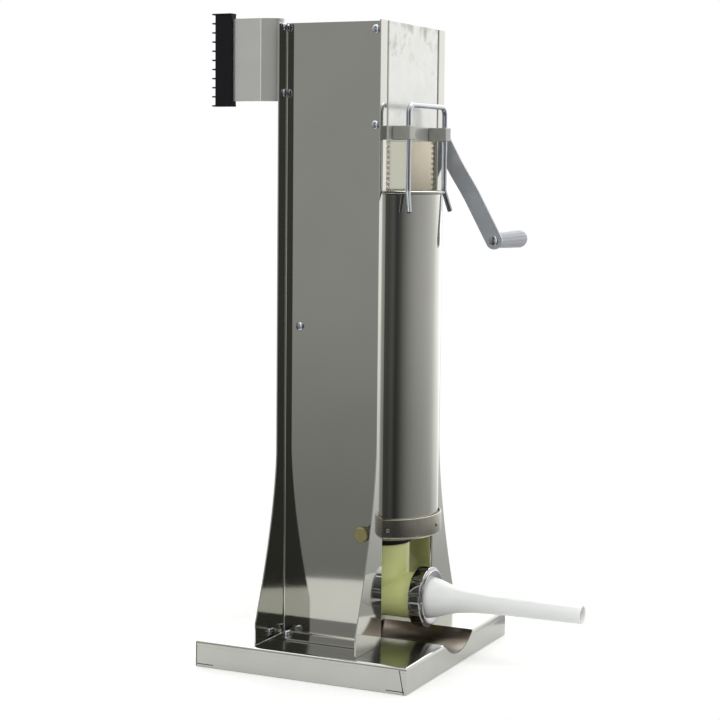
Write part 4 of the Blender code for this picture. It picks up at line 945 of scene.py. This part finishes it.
# Outlet: gasket, elbow, ring nut and nozzle
outlet = {
    "height": 0.0745, "radius": 0.027, "wall": 0.0045, "neckRadius": 0.033,
    "taper": 0.094, "rootRadius": 0.022, "voxel": 0.0009,
    "nutRadius": 0.0350, "nutRing": 0.0318, "nutStep": 0.0030, "nutLip": 0.002, "nutEdge": 0.0012,
    "flutes": 12, "fluteRadius": 0.004, "fluteDepth": 0.0009,
    "nozzleRoot": 0.0236, "nozzleTip": 0.0103, "nozzleWall": 0.0016, "flange": 0.0022, "flangeRadius": 0.0274,
    "waist": 0.145, "waistPower": 2.2, "gasketBore": 0.030, "gasketEdge": 0.0012,
}


def makeGasket():
    low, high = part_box("outlet_gasket")
    outer = (high.x - low.x) / 2
    height = high.z - low.z
    edge, bore = outlet["gasketEdge"], outlet["gasketBore"]
    bulge = arcPoints((outer - edge, edge), edge, -90, 0, 4)
    bulge += [(outer, height / 2)] + arcPoints((outer - edge, height - edge), edge, 0, 90, 4)
    profile = bulge + [(bore, height), (bore, 0), bulge[0]]
    piece = turnPiece("outletGasket", profile, Vector((middleX, axisY, low.z)), "Z", 96)
    finishPiece(piece, "tower", blackRubber, "rubber", "outlet_gasket")


def makeElbow():
    low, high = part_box("outlet_elbow")
    radius, wall, height = outlet["radius"], outlet["wall"], outlet["height"]
    reach = axisY - low.y
    mouth = Vector((middleX, low.y, height))
    bend = Vector((middleX, axisY, height))
    back = arcPoints((0, reach), radius, 90, 0, 10)
    pipe = turnPiece("outletElbow", back + [(radius, 0.0), (0, 0.0)], mouth, "Y", 96)
    top = high.z - height
    taper = outlet["taper"] - height
    neckLine = [(0, top), (outlet["neckRadius"], top), (outlet["neckRadius"], taper + 0.008)]
    for i in range(1, 9):
        share = i / 8
        width = outlet["neckRadius"] + (outlet["rootRadius"] - outlet["neckRadius"]) * eased(share)
        neckLine.append((width, taper + 0.008 - (taper + 0.011) * share))
    neckLine.append((0, neckLine[-1][1]))
    cut(pipe, turnPiece("neck", neckLine, bend, "Z", 96), "UNION")
    bore = radius - wall
    hollow = arcPoints((0, reach), bore, 90, 0, 6)
    cut(pipe, turnPiece("bore", hollow + [(bore, -0.01), (0, -0.01)], mouth, "Y", 64))
    neckBore = outlet["neckRadius"] - wall
    down = [(0, top + 0.01), (neckBore, top + 0.01), (neckBore, taper), (outlet["rootRadius"] - wall, 0.0003)]
    down.append((0, 0.0003))
    cut(pipe, turnPiece("neckBore", down, bend, "Z", 64))
    addModifier(pipe, "REMESH", {"mode": "VOXEL", "voxel_size": outlet["voxel"], "use_smooth_shade": True})
    addModifier(pipe, "SMOOTH", {"factor": 0.5, "iterations": 6})
    finishPiece(pipe, "tower", yellowAcetal, "yellow_plastic", "outlet_elbow")


def makeRingNut():
    low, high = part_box("ring_nut")
    radius, depth, lip = outlet["nutRadius"], high.y - low.y, outlet["nutLip"]
    centre = Vector((middleX, low.y, outlet["height"]))
    bore, mouth = outlet["radius"] + 0.0010, outlet["nozzleRoot"] + 0.0006
    edge, ring, step = outlet["nutEdge"], outlet["nutRing"], outlet["nutStep"]
    profile = [(bore, depth), (radius - edge, depth)] + arcPoints((radius - edge, depth - edge), edge, 90, 0, 4)
    bead = (ring - mouth - 0.0016) / 2
    profile += arcPoints((radius - 0.0015, step + 0.0015), 0.0015, 0, -75, 5)
    profile += [(ring, step - 0.0002)] + arcPoints((ring - 0.0010, 0.0010), 0.0010, 0, -90, 4)
    profile += [(ring - bead, 0.0), (mouth + edge, 0.0008), (mouth, edge), (mouth, lip), (bore, lip), (bore, depth)]
    nut = turnPiece("ringNut", profile, centre, "Y", 192)
    distance = radius + outlet["fluteRadius"] - outlet["fluteDepth"]
    tools = []
    for i in range(outlet["flutes"]):
        angle = 2 * math.pi * (i + 0.5) / outlet["flutes"]
        place = centre + Vector((distance * math.cos(angle), 0.0035, distance * math.sin(angle)))
        wide = outlet["fluteRadius"]
        tools.append(turnPiece("flute", [(0, 0.02), (wide, 0.02), (wide, 0), (0, 0)], place, "Y", 48))
    cut(nut, joinPieces(tools, "flutes"))
    softenEdges(nut, 0.0004, 2, 25)
    finishPiece(nut, "outlet_nut", chromePlate, "chrome", "ring_nut")


def makeNozzle():
    low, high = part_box("nozzle")
    length = high.y - low.y
    root, tip, wall = outlet["nozzleRoot"], outlet["nozzleTip"], outlet["nozzleWall"]
    outer = []
    for i in range(61):
        share = (i / 60) ** 1.4
        radius = tip + (root - tip) / (1 + (share / outlet["waist"]) ** outlet["waistPower"])
        outer.append((radius, -share * (length - wall / 2)))
    outer = [point for point in outer if point[1] < -outlet["flange"]]
    end = outer[-1]
    lip = arcPoints((end[0] - wall / 2, end[1]), wall / 2, 0, -180, 6)[1:]
    inner = [(radius - wall, place) for radius, place in outer[::-1]]
    profile = [(root - wall, 0), (outlet["flangeRadius"], 0), (outlet["flangeRadius"], -outlet["flange"])]
    profile += [(root, -outlet["flange"])] + outer + lip + inner[1:] + [(root - wall, 0)]
    centre = Vector((middleX, high.y, outlet["height"]))
    piece = turnPiece("outletNozzle", profile, centre, "Y", 96)
    finishPiece(piece, "tower", milkyPlastic, "white_plastic", "nozzle")


makeGasket()
makeElbow()
makeRingNut()
makeNozzle()
print("outlet made")


# Screws, foot bolts and nuts
screw = {
    "radius": 0.0047, "height": 0.0026, "shank": 0.0019,
    "recess": 0.0026, "recessWidth": 0.0011, "recessDepth": 0.0016,
}
bolt = {
    "radius": 0.0052, "height": 0.0040, "shank": 0.0028, "washer": 0.0062, "washerHeight": 0.0012,
    "recess": 0.0030, "recessWidth": 0.0012, "recessDepth": 0.0022,
}


def modelScrew(name, sizes, seat=0.0):
    # A domed head with a cross recess, its underside at the seat's height
    radius, height = sizes["radius"], sizes["height"]
    dome = [(radius * math.sin(math.radians(a)), height * 0.35 + height * 0.65 * math.cos(math.radians(a)))
            for a in range(0, 91, 10)]
    profile = dome + [(radius, 0.0), (sizes["shank"], 0.0), (sizes["shank"], -0.004), (0, -0.004)]
    head = turnPiece(name, [(r, z + seat) for r, z in profile], Vector((0, 0, 0)), "Z", 48)
    half, reach, top = sizes["recessWidth"] / 2, sizes["recess"], height + seat
    arms = [addBox("arm", (-reach, -half, top - sizes["recessDepth"]), (reach, half, top + 0.001)),
            addBox("arm", (-half, -reach, top - sizes["recessDepth"]), (half, reach, top + 0.001))]
    for arm in arms:
        cut(head, arm)
    shadeSmooth(head)
    return head


def setScrew(model, name, place, direction):
    piece = placeCopy(model, name.title().replace("_", ""), place, direction)
    finishPiece(piece, "tower", glossyZinc, "zinc_steel", name)


def makeScrews():
    model = modelScrew("screwModel", screw)
    for side, sign in (("left", -1), ("right", 1)):
        names = [f"cover_screw_{side}_lower", f"cover_screw_{side}_upper", f"stop_rod_screw_{side}"]
        for name in names:
            low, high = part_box(name)
            seat = high.x - screw["height"] if sign > 0 else low.x + screw["height"]
            setScrew(model, name, Vector((seat, *boxMiddle(name).yz)), (sign, 0, 0))
        for name in (f"bracket_screw_{side}_lower", f"bracket_screw_{side}_upper"):
            place = boxMiddle(name)
            place.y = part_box(name)[0].y + screw["height"]
            setScrew(model, name, place, (0, -1, 0))
    bpy.data.objects.remove(model, do_unlink=True)


def makeFootBolts():
    washer = bolt["washerHeight"]
    head = modelScrew("boltModel", bolt, washer)
    edge = bolt["washer"]
    ring = [(bolt["shank"], washer), (edge - 0.0003, washer), (edge, washer - 0.0003), (edge, 0.0002),
            (edge - 0.0002, 0), (bolt["shank"], 0), (bolt["shank"], washer)]
    model = joinPieces([head, turnPiece("washer", ring, Vector((0, 0, 0)), "Z", 48)], "boltModel")
    for side in ("left", "right"):
        for end in ("front", "rear"):
            name = f"foot_bolt_{side}_{end}"
            place = boxMiddle(name)
            place.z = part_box(name)[1].z - bolt["height"] - washer
            setScrew(model, name, place, (0, 0, 1))
            dress(f"foot_nut_{side}_{end}", zincPlate)
    bpy.data.objects.remove(model, do_unlink=True)


makeScrews()
makeFootBolts()


# Knurled thumb screws beside the cradle
thumb = {
    "radius": 0.009, "length": 0.011, "collar": 0.006, "collarLength": 0.014, "shank": 0.0039,
    "knurls": 24, "root": 0.88, "chamfer": 0.0013,
}


def makeThumbScrew(side, sign):
    low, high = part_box(f"thumb_screw_{side.lower()}")
    y, z = (low.y + high.y) / 2, (low.z + high.z) / 2
    outerX = high.x if sign > 0 else low.x
    innerX = low.x if sign > 0 else high.x
    count = 4 * thumb["knurls"]
    ring = []
    for i in range(count):
        radius = thumb["radius"] * (1 if i % 4 in (1, 2) else thumb["root"])
        angle = 2 * math.pi * i / count
        ring.append(Vector((outerX, y + radius * math.cos(angle), z + radius * math.sin(angle))))
    head = raiseOutline(f"thumbScrew{side}", ring, (-sign * thumb["length"], 0, 0))
    softenEdges(head, 0.0002, 1, 50)
    chamfer, radius, length = thumb["chamfer"], thumb["radius"], thumb["length"]
    guard = [(0, 0), (radius - chamfer, 0), (radius + 0.0002, -chamfer), (radius + 0.0002, -length + chamfer),
             (radius - chamfer, -length), (0, -length)]
    guard = [(r, sign * d) for r, d in guard]
    cut(head, turnPiece("guard", guard, Vector((outerX, y, z)), "X", 101), "INTERSECT")  # no step falls on a knurl
    start = sign * thumb["length"]
    collar = [(0, 0.001 * sign), (thumb["collar"], 0.001 * sign), (thumb["collar"], -sign * thumb["collarLength"]),
              (thumb["shank"], -sign * thumb["collarLength"]), (thumb["shank"], innerX - outerX + start),
              (0, innerX - outerX + start)]
    neck = turnPiece("collar", collar, Vector((outerX - start, y, z)), "X", 48)
    piece = joinPieces([head, neck], f"thumbScrew{side}")
    shadeSmooth(piece, 30)
    finishPiece(piece, f"{side.lower()}_thumb", dullBrass, "brass", f"thumb_screw_{side.lower()}")


makeThumbScrew("Left", -1)
makeThumbScrew("Right", 1)


def makeStopRod():
    low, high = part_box("rear_stop_rod")
    radius, half = (high.z - low.z) / 2, (high.x - low.x) / 2
    piece = turnPiece("stopRod", rodProfile(radius, -half, half, rodEdge), (low + high) / 2, "X", 48)
    finishPiece(piece, "tower", zincPlate, "zinc_steel", "rear_stop_rod")


makeStopRod()
print("screws and rod made")


# Rear brackets and their ribbed feet
bracket = {"sheet": 0.002, "edge": 0.0015, "flange": 0.008, "slant": 0.022, "bend": 0.003, "wideBend": 0.009}
foot = {"ribs": 11, "rib": 0.0016, "ribDepth": 0.0042, "cap": 0.0018, "capOut": 0.0006, "setBack": 0.005}


def makeBracket(side, sign):
    low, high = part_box(f"rear_bracket_{side.lower()}")
    t = bracket["sheet"]
    seat = low.y + t / 2
    inner = middleX + sign * (panel["half"] + bracket["edge"])
    bendX = middleX + sign * (panel["half"] + bracket["flange"] + t / 2)
    plate = (high.x if sign > 0 else low.x) - sign * t / 2
    crease = rearY + bracket["slant"]
    halfway = ((bendX + plate) / 2, (seat + crease) / 2, low.z)
    path = softPath([(inner, seat, low.z), (bendX, seat, low.z), halfway], bracket["wideBend"], 8)
    path += softPath([halfway, (plate, crease, low.z), (plate, high.y, low.z)], bracket["bend"], 6)[1:]
    piece = drawLine(f"rearBracket{side}", path)
    extrude((0, 0, high.z - low.z))
    faceToward(piece, Vector((sign, 0, 0)))
    thicken(piece, t, 0)
    softenEdges(piece, sheetEdge, 2, 60)
    finishPiece(piece, "tower", brushedSteel, "satin_sheet", f"rear_bracket_{side.lower()}")


def makeFoot(side):
    low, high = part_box(f"rear_foot_{side.lower()}")
    back = high.y - foot["ribDepth"]
    out = foot["capOut"]
    low.y += foot["setBack"]
    pieces = [addBox("core", (low.x + out, low.y, low.z + 0.001), (high.x - out, back, high.z - 0.001))]
    for z in (low.z, high.z - foot["cap"]):
        pieces.append(addBox("cap", (low.x, low.y, z), (high.x, back + 0.0006, z + foot["cap"])))
    pitch = (high.z - low.z - foot["rib"]) / (foot["ribs"] - 1)
    for i in range(foot["ribs"]):
        z = low.z + pitch * i
        pieces.append(addBox("rib", (low.x + out, back - 0.001, z), (high.x - out, high.y, z + foot["rib"])))
    for piece in pieces:
        softenEdges(piece, 0.0004, 2)
    block = joinPieces(pieces, f"rearFoot{side}")
    finishPiece(block, "tower", blackRubber, "rubber", f"rear_foot_{side.lower()}")


for side, sign in (("Left", -1), ("Right", 1)):
    makeBracket(side, sign)
    makeFoot(side)
print("brackets and feet made")


# Crank: shaft, bush, nut, cranked arm, spindle and fluted grip
crank = {
    "thickness": 0.0035, "width": 0.0205, "reach": 0.1677, "lean": 29, "joggle": 0.007, "joggleStart": 0.062,
    "joggleEnd": 0.112, "cuts": 12, "edge": 0.0005, "armX": 0.09325, "shaftY": 0.019, "shaftZ": 0.633,
    "shaft": 0.007, "shaftEdge": 0.0008, "shoulder": 0.0095, "bore": 0.0073, "nutRadius": 0.010, "nutSlope": 0.0012,
}
grip = {
    "near": 0.0088, "far": 0.0108, "flutes": 14, "perFlute": 8, "depth": 0.0003, "edge": 0.0006, "bore": 0.0038,
    "spindle": 0.0035, "cap": 0.0012, "stations": (0.25, 0.5, 0.75, 0.93),
}
hub = at(crank["armX"], crank["shaftY"], crank["shaftZ"])


def makeArm():
    half, reach = crank["width"] / 2, crank["reach"]
    outline = arcPoints((0, 0), half, 0, 180, 32) + arcPoints((0, -reach), half, 180, 360, 32)
    inner = -crank["thickness"] / 2
    arm = raiseOutline("crankArm", [hub + Vector((inner, y, z)) for y, z in outline], (crank["thickness"], 0, 0))
    bpy.ops.object.mode_set(mode="EDIT")
    span = crank["joggleEnd"] - crank["joggleStart"]
    for i in range(crank["cuts"] + 1):
        sliceAt(hub.z - crank["joggleStart"] - span * i / crank["cuts"])
    for i in range(1, crank["cuts"] + 1):
        below = hub.z - crank["joggleStart"] - span * (i - 0.5) / crank["cuts"]
        rise = eased(i / crank["cuts"]) - eased((i - 1) / crank["cuts"])
        pick(arm, "VERT", lambda p: p.z < below)
        bpy.ops.transform.translate(value=(crank["joggle"] * rise, 0, 0))
    bpy.ops.object.mode_set(mode="OBJECT")
    softenEdges(arm, crank["edge"], 3, 60)
    choose(arm)
    scene.cursor.location = hub
    bpy.ops.object.origin_set(type="ORIGIN_CURSOR")
    arm.rotation_euler.x = -math.radians(crank["lean"])
    finishPiece(arm, "crank", platedBar, "zinc_steel", "crank_arm")


def makeShaft():
    low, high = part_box("crank_shaft")
    centre = Vector((middleX, hub.y, hub.z))
    radius, shoulder, edge = crank["shaft"], crank["shoulder"], crank["shaftEdge"]
    start, end = low.x - middleX, high.x - middleX
    stop = crank["armX"] - crank["thickness"] / 2 - 0.0003
    begin = panel["half"] + 0.0036
    profile = [(0, end), (radius - edge, end), (radius, end - edge), (radius, stop), (shoulder - 0.0004, stop),
               (shoulder, stop - 0.0004), (shoulder, begin), (radius, begin), (radius, start), (0, start)]
    piece = turnPiece("crankShaft", profile, centre, "X", 64)
    finishPiece(piece, "crank", turnedSteel, "machined_steel", "crank_shaft")
    low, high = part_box("shaft_bush_right")
    inner, outer, flange = crank["bore"], shoulder, (high.z - low.z) / 2
    start, end = low.x - middleX, high.x - middleX
    profile = [(inner, end), (flange - 0.0005, end), (flange, end - 0.0005), (flange, end - 0.003),
               (outer, end - 0.003), (outer, start), (inner, start), (inner, end)]
    piece = turnPiece("shaftBushRight", profile, centre, "X", 64)
    finishPiece(piece, "tower", turnedSteel, "machined_steel", "shaft_bush_right")


def makeHubNut():
    low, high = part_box("hub_nut")
    radius, height = crank["nutRadius"], high.x - low.x
    ring = [Vector((low.x, hub.y + radius * math.cos(math.pi / 3 * i), hub.z + radius * math.sin(math.pi / 3 * i)))
            for i in range(6)]
    nut = raiseOutline("hubNut", ring, (height, 0, 0))
    slope, hole = crank["nutSlope"], crank["bore"]
    guard = [(0, height), (radius - slope, height), (radius + 0.0001, height - 0.0009), (radius + 0.0001, 0.0009),
             (radius - slope, 0), (0, 0)]
    cut(nut, turnPiece("guard", guard, Vector((low.x, hub.y, hub.z)), "X", 96), "INTERSECT")
    bore = [(0, 0.03), (hole, 0.03), (hole, -0.01), (0, -0.01)]
    cut(nut, turnPiece("bore", bore, Vector((low.x, hub.y, hub.z)), "X", 48))
    softenEdges(nut, 0.0002, 2, 30)
    finishPiece(nut, "crank", zincPlate, "zinc_steel", "hub_nut")


def makeGrip():
    low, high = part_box("crank_grip")
    y, z = (low.y + high.y) / 2, (low.z + high.z) / 2
    length = high.x - low.x
    count = grip["flutes"] * grip["perFlute"]
    ring = []
    for i in range(count):
        angle = 2 * math.pi * i / count
        dip = grip["depth"] * (0.5 - 0.5 * math.cos(angle * grip["flutes"])) ** 2
        radius = grip["near"] - grip["edge"] - dip
        ring.append(Vector((low.x, y + radius * math.cos(angle), z + radius * math.sin(angle))))
    piece = drawLine("crankGrip", ring + ring[:1])
    bpy.ops.mesh.remove_doubles(threshold=tiny)
    bpy.ops.mesh.edge_face_add()
    width, place, swell = grip["near"] - grip["edge"], 0.0, grip["far"] - grip["near"]
    stations = [(grip["edge"], grip["near"])]
    stations += [(length * share, grip["near"] + swell * share) for share in grip["stations"]]
    start = length * grip["stations"][-1]
    stations += [(start + (length - start) * math.sin(math.radians(a)), grip["far"] * math.cos(math.radians(a * 0.8)))
                 for a in (30, 50, 65, 78, 90)]
    for distance, radius in stations:
        extrude((distance - place, 0, 0))
        ratio = radius / width
        bpy.ops.transform.resize(value=(1, ratio, ratio), center_override=(low.x + distance, y, z))
        width, place = radius, distance
    tidyMesh()
    leaveEdit(50)
    bore = [(0, 0.07), (grip["bore"], 0.07), (grip["bore"], -0.01), (0, -0.01)]
    cut(piece, turnPiece("bore", bore, Vector((low.x, y, z)), "X", 32))
    softenEdges(piece, sheetEdge, 2, 60)
    finishPiece(piece, "grip", greyAbs, "grey_plastic", "crank_grip")
    spindleLow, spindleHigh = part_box("grip_spindle")
    radius, head, cap = grip["spindle"], (spindleHigh.z - spindleLow.z) / 2, grip["cap"]
    span = spindleHigh.x - spindleLow.x
    dome = [(head * math.sin(math.radians(a)), cap * (1 - math.cos(math.radians(a)))) for a in range(0, 91, 15)]
    profile = dome + [(radius, cap), (radius, span - 0.0005), (radius - 0.0005, span), (0, span)]
    rod = turnPiece("gripSpindle", profile, Vector((spindleLow.x, y, z)), "X", 48)
    finishPiece(rod, "crank", zincPlate, "zinc_steel", "grip_spindle")


makeArm()
makeShaft()
makeHubNut()
makeGrip()
print("crank made")


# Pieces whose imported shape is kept: only their finish is set here
keptNodes = {
    "top_plate": mirrorSteel, "rack_guide": greenNylon, "piston_disc": whiteNylon, "piston_seal": blackRubber,
    "piston_bolt": zincPlate, "toothed_rack": milledSteel, "pinion": turnedSteel, "shaft_bush_left": turnedSteel,
}
for name, material in keptNodes.items():
    dress(name, material)
